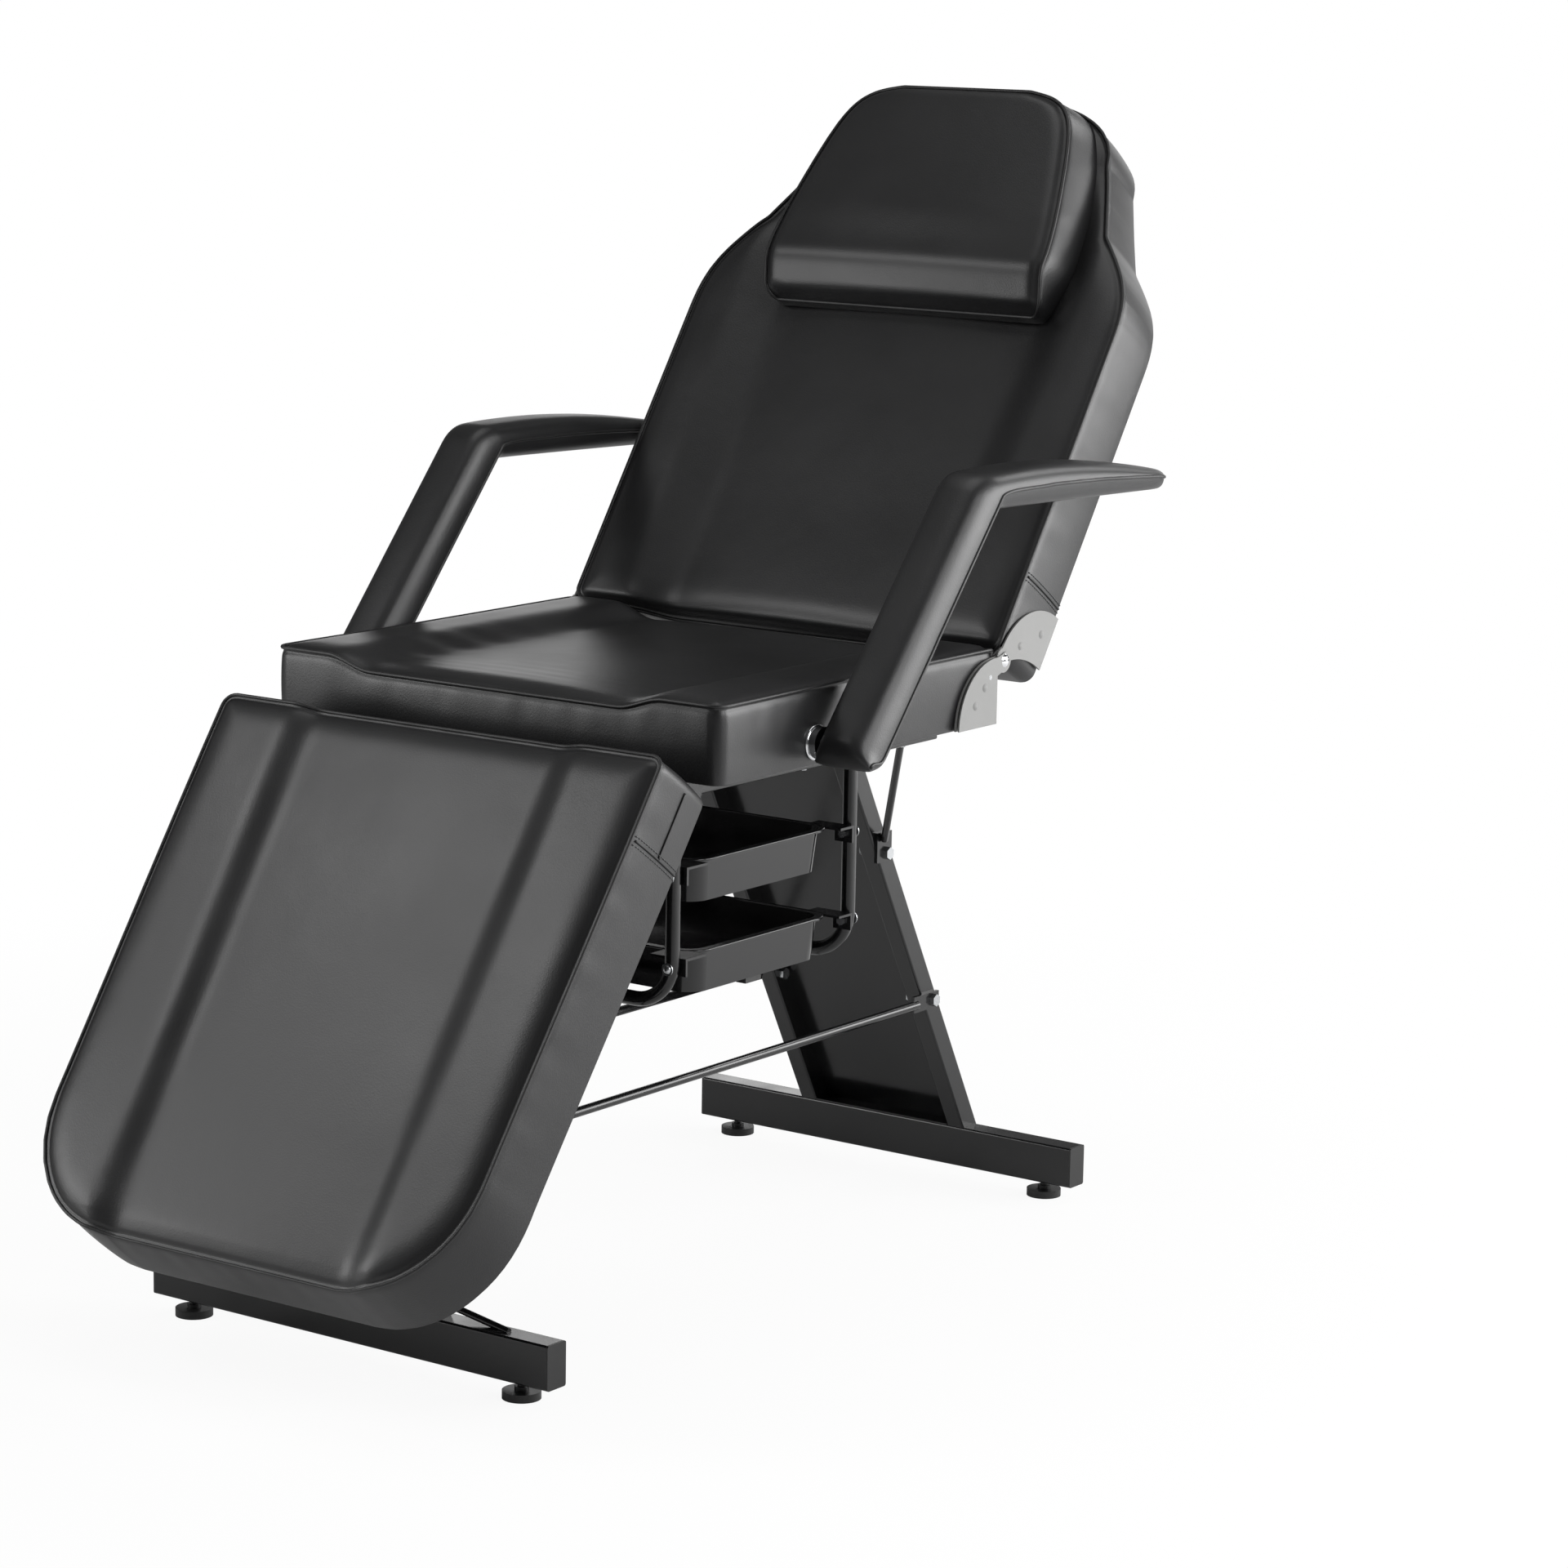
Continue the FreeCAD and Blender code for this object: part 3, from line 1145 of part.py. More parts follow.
cover_z = -leg_thick - cover_thick
spot = lay_leg(Part.Vertex(V(0, 0, 0))).Point
turn = math.radians(leg_angle)
pivot_s = -(leg_pivot_y - spot.y) * math.cos(turn) - (leg_pivot_z - spot.z) * math.sin(turn)
pivot_n = -(leg_pivot_y - spot.y) * math.sin(turn) + (leg_pivot_z - spot.z) * math.cos(turn)
web = box(plate_in, plate_out, pivot_s, leg_web_length, cover_z - leg_web_depth, cover_z)
flange = box(plate_in, plate_in + leg_flange, leg_ear_radius, leg_web_length, cover_z - leg_plate, cover_z)
leg_ear = rod(V(plate_in, pivot_s, pivot_n), V(plate_out, pivot_s, pivot_n), leg_ear_radius)
leg_plate_blank = lay_leg(fuse([web, flange, leg_ear]))
if leg_plate_blank.BoundBox.Center.x < 0:
    leg_plate_blank = flip_x(leg_plate_blank)
leg_teeth_fan = toothed_fan(leg_pivot_y, leg_pivot_z, plate_in, leg_tooth_radius, tooth_depth,
                            leg_tooth_start, leg_tooth_span, leg_teeth, leg_plate)
leg_screws = []
for y in (leg_web_length / 3, 3 * leg_web_length / 4):
    x = plate_in + (leg_plate + leg_flange) / 2
    seat = V(x, y, cover_z - leg_plate)
    leg_screws.append(lay_leg(domed_bolt(seat, seat + V(0, 0, wood_screw_length), wood_screw_radius,
                                         wood_screw_head, wood_screw_head_height)))
leg_screws = both_x(leg_screws)
leg_plate_right = cut(fuse([leg_plate_blank, leg_teeth_fan]), [leg_pin_hole] + leg_screws)
leg_plate_left = flip_x(leg_plate_blank.cut(leg_pin_hole))
leg_plate_left = cut(leg_plate_left, leg_screws)
write("leg_hinge_plates", [leg_plate_right, leg_plate_left])
write("leg_hinge_screws", leg_screws)
write("leg_cushion", [lay_leg(leg_body)])
write("leg_board", [cut(lay_leg(leg_board), leg_screws)])
write("leg_cover", [cut(lay_leg(leg_cover), leg_screws)])
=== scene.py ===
import json
import logging
import math
from dataclasses import dataclass
from enum import Enum
from typing import Callable, Optional, Sequence

import bmesh
import bpy
import numpy as np
from bpy.types import Material, Node, NodeSocket, NodeTree, Object
from mathutils import Matrix, Vector


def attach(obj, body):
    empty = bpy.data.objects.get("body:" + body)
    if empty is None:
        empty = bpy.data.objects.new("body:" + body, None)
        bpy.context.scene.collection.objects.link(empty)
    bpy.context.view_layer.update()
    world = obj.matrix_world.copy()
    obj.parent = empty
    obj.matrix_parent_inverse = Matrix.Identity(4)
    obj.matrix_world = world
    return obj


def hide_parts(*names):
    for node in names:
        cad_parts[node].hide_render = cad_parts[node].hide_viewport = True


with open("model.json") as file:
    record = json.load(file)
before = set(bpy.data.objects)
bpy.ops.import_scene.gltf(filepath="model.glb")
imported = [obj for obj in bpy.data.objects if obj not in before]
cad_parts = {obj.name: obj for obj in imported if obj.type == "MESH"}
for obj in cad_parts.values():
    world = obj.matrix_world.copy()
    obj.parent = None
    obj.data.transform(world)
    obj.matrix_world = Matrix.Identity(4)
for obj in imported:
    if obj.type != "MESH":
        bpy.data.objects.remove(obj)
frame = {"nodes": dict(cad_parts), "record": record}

Array = np.ndarray
Pair = tuple[float, float]
Triple = tuple[float, float, float]
Faces = list[tuple[int, ...]]
Profile = Callable[[Array], Array]
LOG = logging.getLogger("tattoo_chair")
MM = 0.001
METRE = 1000.0  # in millimetres, so METRE / size is the scale of a pattern of that size
WAVE_BAND = 6.2832  # step of a wave texture's coordinate from one band to the next

# Cushion mesh, in millimetres
EDGE_MARKS = (0, 1.5, 3.2, 5.2, 8.5, 13, 19, 26, 34)  # columns, counted from the side edge
END_ROWS = (1.5, 4, 8, 13, 19, 26)  # rows, counted from each end
EDGE_BAND = 42.0  # width of the band that those columns fill
COLUMN_STEP = 9.0  # spacing between the bands
ROW_GAP = 0.6  # rows closer than this are left out
RIM_STEP = 3.0  # spacing of the outline's points when distances to it are measured
BLOCK = 2000  # points measured at once, to save memory
CORNER_TURNS = np.linspace(0, math.pi / 2, 9)

# Cushion form, in millimetres or as shares of a length or depth
END_SHARE = 0.25  # share of the length over which the dish changes at each end
FACE_POWER = 2.6  # how steeply the face rises from its seam
GROOVE_DEPTH, GROOVE_AT, GROOVE_WIDTH = 1.7, 3.4, 1.6
SEAM_PINCH, SEAM_PINCH_AT, SEAM_PINCH_WIDTH = 1.5, 0.045, 0.022
BULGE_SPAN, BULGE_POWER = 1.02, 0.7
WALL_LEVELS = (0.02, 0.04, 0.065, 0.10, 0.18, 0.3, 0.44, 0.58, 0.72, 0.84, 0.93, 0.98, 1.0)
PUCKER_PEAK = 0.16  # share of the wall's depth at which its small folds are highest
FLARE_REACH = 60.0
FACE_GAP = 1.0  # width of the flat strip along the seam
LIP_INSET, LIP_DROP = 0.4, 0.6
BASE_INSET, BASE_LIFT = 6.0, 1.5
BEAD_OUT, BEAD_UP, BEAD_STEP = 0.6, 0.4, 4.0

# Seams and staples, in millimetres
SEAM_SHARES = np.linspace(0.07, 0.99, 20)
SEAM_RADIUS, SEAM_STEP, SEAM_LIFT = 1.3, 3.0, 0.3
STITCH_PITCH, STITCH_SHIFT, STITCH_LIFT = 4.2, 4.5, 0.4
STITCH_SIZE = (3.2, 1.3, 1.3)
STAPLE_PITCH, STAPLE_SIZE = 32.0, (10.0, 1.1, 0.5)
STAPLE_INSET = 14.0
STAPLE_ENDS = (16.0, 15.0)
STAPLE_DROP = 1.4
STAPLE_MARKS = 60

# The backrest's foot and lean, which the pillow shares, in millimetres and degrees
BACK_FOOT = (0.0, 233.0, 648.6)
BACK_LEAN = 56.0


def linear(hex_colour: str) -> tuple[float, float, float, float]:
    """Turn an sRGB hex colour into linear values.

    Args:
        hex_colour: Six hex digits.

    Returns:
        Linear red, green, blue and an alpha of one.
    """
    parts = []
    for k in (0, 2, 4):
        c = int(hex_colour[k:k + 2], 16) / 255
        parts.append(c / 12.92 if c <= 0.04045 else ((c + 0.055) / 1.055) ** 2.4)
    return (parts[0], parts[1], parts[2], 1.0)


def add_node(tree: NodeTree, kind: str, inputs: Optional[dict] = None, **settings: str) -> Node:
    """Add one node to a tree with its settings and its inputs.

    Args:
        tree: The node tree.
        kind: The node's type name.
        inputs: Socket name or index to a value, or to an output socket to link.
        settings: Attribute values of the node.

    Returns:
        The new node.
    """
    node = tree.nodes.new(kind)
    for key, value in settings.items():
        setattr(node, key, value)
    feed(tree, node, inputs or {})
    return node


def feed(tree: NodeTree, node: Node, inputs: dict) -> None:
    """Set inputs of a node, each to a value or to an output socket to link."""
    for key, value in inputs.items():
        socket = node.inputs[key]
        if isinstance(value, NodeSocket):
            tree.links.new(value, socket)
        else:
            socket.default_value = value


def set_stops(ramp: Node, *stops: tuple[float, str]) -> None:
    """Set the places and sRGB hex colours of a colour ramp's stops."""
    for element, (place, colour) in zip(ramp.color_ramp.elements, stops):
        element.position = place
        element.color = linear(colour)


def new_material(name: str) -> tuple[Material, NodeTree, Node]:
    """Make a material with an output and a Principled shader.

    Args:
        name: Name of the finish.

    Returns:
        The material, its tree and its shader node.
    """
    material = bpy.data.materials.new(name)
    material.use_nodes = True
    tree = material.node_tree
    tree.nodes.clear()
    shader = add_node(tree, "ShaderNodeBsdfPrincipled")
    add_node(tree, "ShaderNodeOutputMaterial", {"Surface": shader.outputs[0]})
    return material, tree, shader


@dataclass(frozen=True)
class Recipe:
    """What all finishes share: a name, and a pattern in object coordinates for one shader."""

    name: str

    def pattern(self, tree: NodeTree, place: NodeSocket) -> dict:
        """Add the pattern's nodes.

        Args:
            tree: The material's tree.
            place: Object coordinates.

        Returns:
            Inputs of the shader, each with a value or an output socket.
        """
        raise NotImplementedError

    def build(self) -> Material:
        """Build the node material.

        Returns:
            The material.
        """
        material, tree, shader = new_material(self.name)
        place = add_node(tree, "ShaderNodeTexCoord").outputs["Object"]
        feed(tree, shader, self.pattern(tree, place))
        return material


@dataclass(frozen=True)
class CoatedVinyl(Recipe):
    """PU coated vinyl, embossed on a roller: a fine pebble grain over soft foam, semi-gloss."""

    name: str = "pu_vinyl_black_embossed"
    colour: str = "141415"
    worn: str = "1B1B1C"
    roughness: float = 0.38
    grain_mm: float = 1.6
    sag_mm: float = 55.0
    cloud_mm: float = 140.0

    def pattern(self, tree: NodeTree, place: NodeSocket) -> dict:
        """Cloudy wear in colour and gloss, soft sag of the foam and the pebble grain."""
        cloud = add_node(tree, "ShaderNodeTexNoise", {
            "Vector": place, "Scale": METRE / self.cloud_mm, "Detail": 3.0}).outputs["Fac"]
        tone = add_node(tree, "ShaderNodeValToRGB", {"Fac": cloud})
        set_stops(tone, (0.35, self.colour), (0.75, self.worn))
        rough = add_node(tree, "ShaderNodeMapRange", {
            "Value": cloud, "To Min": self.roughness - 0.04, "To Max": self.roughness + 0.06})
        grain = add_node(tree, "ShaderNodeTexVoronoi", {
            "Vector": place, "Scale": METRE / self.grain_mm,
            "Smoothness": 0.6}, feature="SMOOTH_F1")
        sag = add_node(tree, "ShaderNodeTexNoise", {
            "Vector": place, "Scale": METRE / self.sag_mm, "Detail": 2.0, "Roughness": 0.45})
        soft = add_node(tree, "ShaderNodeBump", {
            "Strength": 0.35, "Distance": 0.0016, "Height": sag.outputs["Fac"]})
        fine = add_node(tree, "ShaderNodeBump", {
            "Strength": 0.22, "Distance": 0.0003, "Height": grain.outputs["Distance"],
            "Normal": soft.outputs["Normal"]})
        return {"Base Color": tone.outputs["Color"], "Roughness": rough.outputs["Result"],
                "Normal": fine.outputs["Normal"], "IOR": 1.5}


@dataclass(frozen=True)
class Lacquer(Recipe):
    """Sprayed or baked film on steel, plate or a moulded face: even, with a faint orange peel."""

    colour: str
    roughness: float
    peel_mm: float = 2.5
    peel: float = 0.12
    metallic: float = 0.0
    ior: float = 1.5
    wear: float = 0.06
    smear_mm: float = 60.0

    def pattern(self, tree: NodeTree, place: NodeSocket) -> dict:
        """One colour, with smeared gloss and the peel of the film."""
        peel = add_node(tree, "ShaderNodeTexNoise", {
            "Vector": place, "Scale": METRE / self.peel_mm, "Detail": 2.0})
        smear = add_node(tree, "ShaderNodeTexNoise", {
            "Vector": place, "Scale": METRE / self.smear_mm, "Detail": 4.0})
        rough = add_node(tree, "ShaderNodeMapRange", {
            "Value": smear.outputs["Fac"], "From Min": 0.3, "From Max": 0.7,
            "To Min": max(self.roughness - self.wear, 0.03), "To Max": self.roughness + self.wear})
        bump = add_node(tree, "ShaderNodeBump", {
            "Strength": self.peel, "Distance": 0.0003, "Height": peel.outputs["Fac"]})
        return {"Base Color": linear(self.colour), "Roughness": rough.outputs["Result"],
                "Normal": bump.outputs["Normal"], "Metallic": self.metallic, "IOR": self.ior}


@dataclass(frozen=True)
class WovenBacking(Recipe):
    """Spun and woven polypropylene cloth, dull, with a visible plain weave."""

    name: str = "woven_backing_cloth"
    colour: str = "1A1A1A"
    thread: str = "2B2B2B"
    pitch_mm: float = 2.2

    def pattern(self, tree: NodeTree, place: NodeSocket) -> dict:
        """Two crossed waves, as warp and weft."""
        scale = METRE / self.pitch_mm / WAVE_BAND
        warp, weft = (add_node(tree, "ShaderNodeTexWave", {
            "Vector": place, "Scale": scale, "Distortion": 0.4},
            bands_direction=axis).outputs["Fac"] for axis in "XY")
        mix = add_node(tree, "ShaderNodeMath", {0: warp, 1: weft}, operation="MULTIPLY")
        tone = add_node(tree, "ShaderNodeValToRGB", {"Fac": mix.outputs[0]})
        set_stops(tone, (0.0, self.colour), (1.0, self.thread))
        bump = add_node(tree, "ShaderNodeBump", {
            "Strength": 0.5, "Distance": 0.0004, "Height": mix.outputs[0]})
        return {"Base Color": tone.outputs["Color"], "Roughness": 0.85,
                "Normal": bump.outputs["Normal"]}


@dataclass(frozen=True)
class SawnPly(Recipe):
    """Birch plywood and pine, sawn and left bare: long grain lines with soft colour bands."""

    name: str = "birch_plywood_sawn"
    light: str = "C9A97C"
    dark: str = "9C7444"
    grain_mm: float = 7.0

    def pattern(self, tree: NodeTree, place: NodeSocket) -> dict:
        """Noise drawn out along the grain, in colour and height."""
        along = add_node(tree, "ShaderNodeMapping", {"Vector": place, "Scale": (1.0, 0.08, 1.0)})
        grain = add_node(tree, "ShaderNodeTexNoise", {
            "Vector": along.outputs[0], "Scale": METRE / self.grain_mm,
            "Detail": 6.0}).outputs["Fac"]
        tone = add_node(tree, "ShaderNodeValToRGB", {"Fac": grain})
        set_stops(tone, (0.3, self.dark), (0.7, self.light))
        bump = add_node(tree, "ShaderNodeBump", {
            "Strength": 0.3, "Distance": 0.0004, "Height": grain})
        return {"Base Color": tone.outputs["Color"], "Roughness": 0.7,
                "Normal": bump.outputs["Normal"]}


class Finish(Enum):
    """The finishes of the chair, each with what makes it."""

    VINYL = CoatedVinyl()
    # The piping's base is darker than the cover's: partly the vinyl's own tone, partly painted
    # shade of the crevice along each seam.
    PIPING = Lacquer("pu_vinyl_piping_painted_shade", "0F0F10", 0.46, 1.8, 0.2)
    THREAD = Lacquer("bonded_nylon_thread", "3A3A3B", 0.50, 0.8, 0.3)
    FRAME = Lacquer("powder_coat_gloss_black", "0D0D0E", 0.20, 3.0, 0.10)
    TRAY = Lacquer("moulded_abs_gloss_black", "0F0F10", 0.14, 6.0, 0.06)
    PLASTIC = Lacquer("moulded_polypropylene_black", "131313", 0.42, 0.8, 0.25)
    PLATE = Lacquer("powder_coat_light_grey", "7E7E7D", 0.62, 2.0, 0.15)
    CHROME = Lacquer("chrome_plate_polished", "D8D9DB", 0.08, 5.0, 0.03, 1.0, 1.5, 0.03)
    ZINC = Lacquer("zinc_plate_bright", "B4B6B8", 0.28, 1.5, 0.12, 1.0)
    CLOTH = WovenBacking()
    PLY = SawnPly()


SLOT_FINISH: dict[str, Finish] = {
    "frame_black": Finish.FRAME, "black_vinyl": Finish.VINYL, "black_cloth": Finish.CLOTH,
    "plywood": Finish.PLY, "tray_plastic": Finish.TRAY, "black_plastic": Finish.PLASTIC,
    "grey_plate": Finish.PLATE, "chrome_steel": Finish.CHROME, "zinc_steel": Finish.ZINC,
}


class Shop:
    """Keeps one material of each finish."""

    _made: dict[Finish, Material] = {}

    @classmethod
    def material(cls, finish: Finish) -> Material:
        """Return the material of a finish, made at the first call.

        Args:
            finish: The finish.

        Returns:
            Its material.
        """
        if finish not in cls._made:
            cls._made[finish] = finish.value.build()
        return cls._made[finish]


def make_piece(name: str, points: Array, faces: Sequence[Sequence[int]],
               finish: Finish, levels: int = 0) -> Object:
    """Make one mesh piece with outward faces and its finish.

    Args:
        name: The piece's name.
        points: Vertex places in metres.
        faces: Vertex indices of each face.
        finish: The finish.
        levels: Subdivision levels to apply.

    Returns:
        The new object, linked to the scene.
    """
    mesh = bpy.data.meshes.new(name)
    mesh.from_pydata([tuple(p) for p in points], [], [tuple(f) for f in faces])
    shell = bmesh.new()
    shell.from_mesh(mesh)
    bmesh.ops.remove_doubles(shell, verts=shell.verts, dist=1e-6)
    bmesh.ops.recalc_face_normals(shell, faces=shell.faces)
    for face in shell.faces:
        face.smooth = True
    shell.to_mesh(mesh)
    shell.free()
    piece = bpy.data.objects.new(name, mesh)
    bpy.context.scene.collection.objects.link(piece)
    mesh.materials.append(Shop.material(finish))
    if levels:
        finer = piece.modifiers.new("finer", "SUBSURF")
        finer.levels = levels
        finer.render_levels = levels
        bake(piece)
    return piece


def bake(piece: Object) -> None:
    """Turn a piece's live modifiers into its plain mesh.

    Args:
        piece: The piece.
    """
    bpy.context.view_layer.update()
    graph = bpy.context.evaluated_depsgraph_get()
    solid = bpy.data.meshes.new_from_object(piece.evaluated_get(graph), depsgraph=graph)
    piece.modifiers.clear()
    old = piece.data
    piece.data = solid
    bpy.data.meshes.remove(old)


def settle(body: str, slot: str, *pieces: Object) -> None:
    """Ride pieces on a body."""
    for piece in pieces:
        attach(piece, body)


def smooth_step(t: Array) -> Array:
    """Ease from zero to one over t from zero to one."""
    t = np.clip(t, 0, 1)
    return t * t * (3 - 2 * t)


def drawn_in(radius: float, past: Array) -> Array:
    """How far a round corner draws an edge in, at a distance past the corner's start."""
    past = np.clip(past, 0, radius)
    return radius - np.sqrt(np.maximum(radius ** 2 - past ** 2, 0))


def bell(v: Array, middle: float, width: float) -> Array:
    """A soft hump of height one."""
    return np.exp(-((v - middle) / width) ** 2)


def sleeve(rings: Sequence[Sequence[int]]) -> Faces:
    """Faces between closed rings of as many vertices, each ring joined to the next."""
    faces: Faces = []
    for first, second in zip(rings[:-1], rings[1:]):
        faces += zip(first, np.roll(first, -1), np.roll(second, -1), second)
    return faces


def border(rows: int, cols: int) -> Array:
    """Vertices on the boundary of a grid, in order round it."""
    index = np.arange(rows * cols).reshape(rows, cols)
    return np.concatenate([index[0, :-1], index[:-1, -1], index[-1, :0:-1], index[:0:-1, 0]])


def grid_faces(rows: int, cols: int, base: int = 0) -> Faces:
    """Faces of a grid whose vertices run row by row from a first index."""
    starts = [base + i * cols + j for i in range(rows - 1) for j in range(cols - 1)]
    return [(a, a + 1, a + cols + 1, a + cols) for a in starts]


def tube(name: str, path: Array, radius: float, finish: Finish, closed: bool,
         sides: int = 8) -> Object:
    """Sweep a round section along a path.

    Args:
        name: The piece's name.
        path: Points in metres.
        radius: Radius in metres.
        finish: The finish.
        closed: Whether the path returns to its start.
        sides: Sides of the section.

    Returns:
        The piece.
    """
    count = len(path)
    ahead = np.roll(path, -1, 0) - np.roll(path, 1, 0)
    if not closed:
        ahead[0] = path[1] - path[0]
        ahead[-1] = path[-1] - path[-2]
    ahead /= np.linalg.norm(ahead, axis=1)[:, None]
    side = np.cross(ahead[0], (0.3, 0.5, 0.81))
    side /= np.linalg.norm(side)
    turns = 2 * math.pi * np.arange(sides)[:, None] / sides
    loops = []
    for spot, way in zip(path, ahead):
        side = side - way * side.dot(way)
        side /= np.linalg.norm(side)
        loops.append(spot + radius * (np.cos(turns) * side + np.sin(turns) * np.cross(way, side)))
    points = np.vstack(loops)
    rings = np.arange(count * sides).reshape(count, sides)
    faces = sleeve(rings)
    if closed:
        gaps = np.linalg.norm(points[:sides] - points[rings[-1][0]], axis=1)
        faces += sleeve([rings[-1], np.roll(rings[0], -int(np.argmin(gaps)))])
    else:
        faces += [rings[0], rings[-1]]
    return make_piece(name, points, faces, finish)


def resample(path: Array, step: float, closed: bool) -> Array:
    """Spread points evenly along a path.

    Args:
        path: Points.
        step: Wanted spacing.
        closed: Whether the path returns to its start.

    Returns:
        The new points.
    """
    run = np.vstack([path, path[:1]]) if closed else path
    length = np.concatenate([[0], np.cumsum(np.linalg.norm(np.diff(run, axis=0), axis=1))])
    count = max(int(length[-1] / step), 8)
    marks = np.linspace(0, length[-1], count + 1)
    if closed:
        marks = marks[:-1]
    return np.stack([np.interp(marks, length, column) for column in run.T], axis=1)


def lean_matrix(turn_z: float, turn_x: float, foot: Triple) -> Matrix:
    """Placement of a flat cushion: turned about Z, then about X, then moved.

    Args:
        turn_z: Turn about Z in degrees.
        turn_x: Turn about X in degrees.
        foot: Move in millimetres.

    Returns:
        The matrix.
    """
    move = Matrix.Translation([v * MM for v in foot])
    return (move @ Matrix.Rotation(math.radians(turn_x), 4, "X")
            @ Matrix.Rotation(math.radians(turn_z), 4, "Z"))


def move_all(points: Array, matrix: Matrix) -> Array:
    """Apply a placement to points in millimetres and return metres."""
    m = np.array(matrix)
    return points * MM @ m[:3, :3].T + m[:3, 3]


@dataclass
class PanelCushion:
    """A boxed cushion: a crowned face, a piped seam, bulging walls and a flat base.

    Sizes are in millimetres, across x, along s and out of the face n.
    """

    name: str
    body: str
    node: str
    half: float
    length: float
    thick: float
    place: Matrix
    width: Profile
    rows: Array
    puff: float  # height of the face over its seam
    dish: Triple  # depth of the middle panel at the start, middle and end
    crown: float = 4.0  # more height in the middle of the face
    bulge: float = 2.0  # how far the walls stand out
    edge_reach: float = 36.0  # distance over which the face rises
    valley: Triple = (158.0, 214.0, 0.0)  # near and far edge, and drift
    other_valley: Optional[Triple] = None  # the one on the left, if unlike
    roll: Pair = (0.0, 0.0)  # radius of the seam's fall at the start and the end
    wall_side: int = 1  # side of the wall with the seams
    piping: float = 2.1
    fill: float = 0.9
    wrap: float = 8.0  # inset of the cover's lip under the board
    pucker: float = 0.22  # height of the small folds below the seam
    flare: float = 0.0  # how far all walls lean out at the base
    foot_flare: float = 0.0  # how far the wall at the far end does
    drop: Optional[Profile] = None  # fall of the seam
    extra: Optional[Callable[[Array, Array, Array], Array]] = None  # added height of the face

    def columns(self) -> Array:
        """Shares of the half width at which the face is cut into columns."""
        near = np.array(EDGE_MARKS) / self.half
        count = int((self.half - EDGE_BAND) / COLUMN_STEP)
        inner = np.linspace(0, 1 - EDGE_BAND / self.half, count)
        right = np.concatenate([inner, np.sort(1 - near)])
        return np.concatenate([-right[:0:-1], right])

    def dish_at(self, s: Array) -> Array:
        """Depth of the middle panel along the cushion."""
        t = s / self.length
        a, b, c = self.dish
        first = a + (b - a) * smooth_step(t / END_SHARE)
        return first + (c - b) * smooth_step((t - (1 - END_SHARE)) / END_SHARE)

    def inside(self, x: Array, s: Array) -> Array:
        """One in the middle panel, falling to nothing across the valleys."""
        along = np.clip(s / self.length, 0, 1)
        (near, far, drift), other = self.valley, self.other_valley or self.valley
        right = smooth_step((far + drift * along - x) / (far - near))
        left = smooth_step((other[1] + other[2] * along + x) / (other[1] - other[0]))
        return right * left

    def seam_level(self, x: Array, s: Array) -> Array:
        """Height of the seam between face and wall."""
        level = -self.dish_at(s) * self.inside(x, s)
        if self.drop is not None:
            level = level - self.drop(s)
        for side, reach in ((s, self.roll[0]), (self.length - s, self.roll[1])):
            level = level - drawn_in(reach, reach - side)
        return level

    def face_level(self, x: Array, s: Array, gap: Array) -> Array:
        """Height of the face.

        Args:
            x: Across.
            s: Along.
            gap: Distance to the outline.

        Returns:
            Height out of the seam plane.
        """
        rise = 1 - (1 - np.clip(gap / self.edge_reach, 0, 1)) ** FACE_POWER
        middle = np.clip(1 - (x / self.valley[0]) ** 2, 0, 1)
        level = self.seam_level(x, s) + rise * (self.puff + self.crown * middle)
        level = level - GROOVE_DEPTH * bell(gap, GROOVE_AT, GROOVE_WIDTH)
        if self.extra is not None:
            level = level + self.extra(x, s, rise)
        return level

    def swell(self, t: float) -> float:
        """How far the wall stands out at a share of its depth."""
        round_out = self.bulge * math.sin(math.pi * min(t * BULGE_SPAN, 1)) ** BULGE_POWER
        return round_out - SEAM_PINCH * bell(t, SEAM_PINCH_AT, SEAM_PINCH_WIDTH)

    def half_at(self, s: float) -> float:
        """Half width at one place along the cushion."""
        return float(self.width(np.array([s]))[0])

    def wall_path(self, s: float, shares: Array, lift: float = 0.5) -> Array:
        """Points down one side wall at one place along the cushion.

        Args:
            s: Place along the cushion in millimetres.
            shares: Shares of the wall's depth.
            lift: Distance off the wall.

        Returns:
            Points in metres in the model's frame.
        """
        half = self.half_at(s)
        seam = float(self.seam_level(np.array([self.wall_side * half]), np.array([s]))[0])
        rows = [(self.wall_side * (half + self.swell(t) + lift), s, seam - (self.thick + seam) * t)
                for t in shares]
        return move_all(np.array(rows), self.place)

    def shrunk(self, flat: Array, inset: float) -> Array:
        """Plan points drawn in evenly towards the middle of the cushion."""
        x = flat[:, 0] * (self.half - inset) / self.half
        return np.column_stack([x, inset + flat[:, 1] * (self.length - 2 * inset) / self.length])

    def gaps(self, flat: Array, rim: Array) -> Array:
        """Distance of plan points to the outline."""
        dense = resample(rim, RIM_STEP, True)
        blocks = [flat[k:k + BLOCK, None] for k in range(0, len(flat), BLOCK)]
        nearest = [((block - dense[None]) ** 2).sum(2).min(1) for block in blocks]
        return np.sqrt(np.concatenate(nearest))

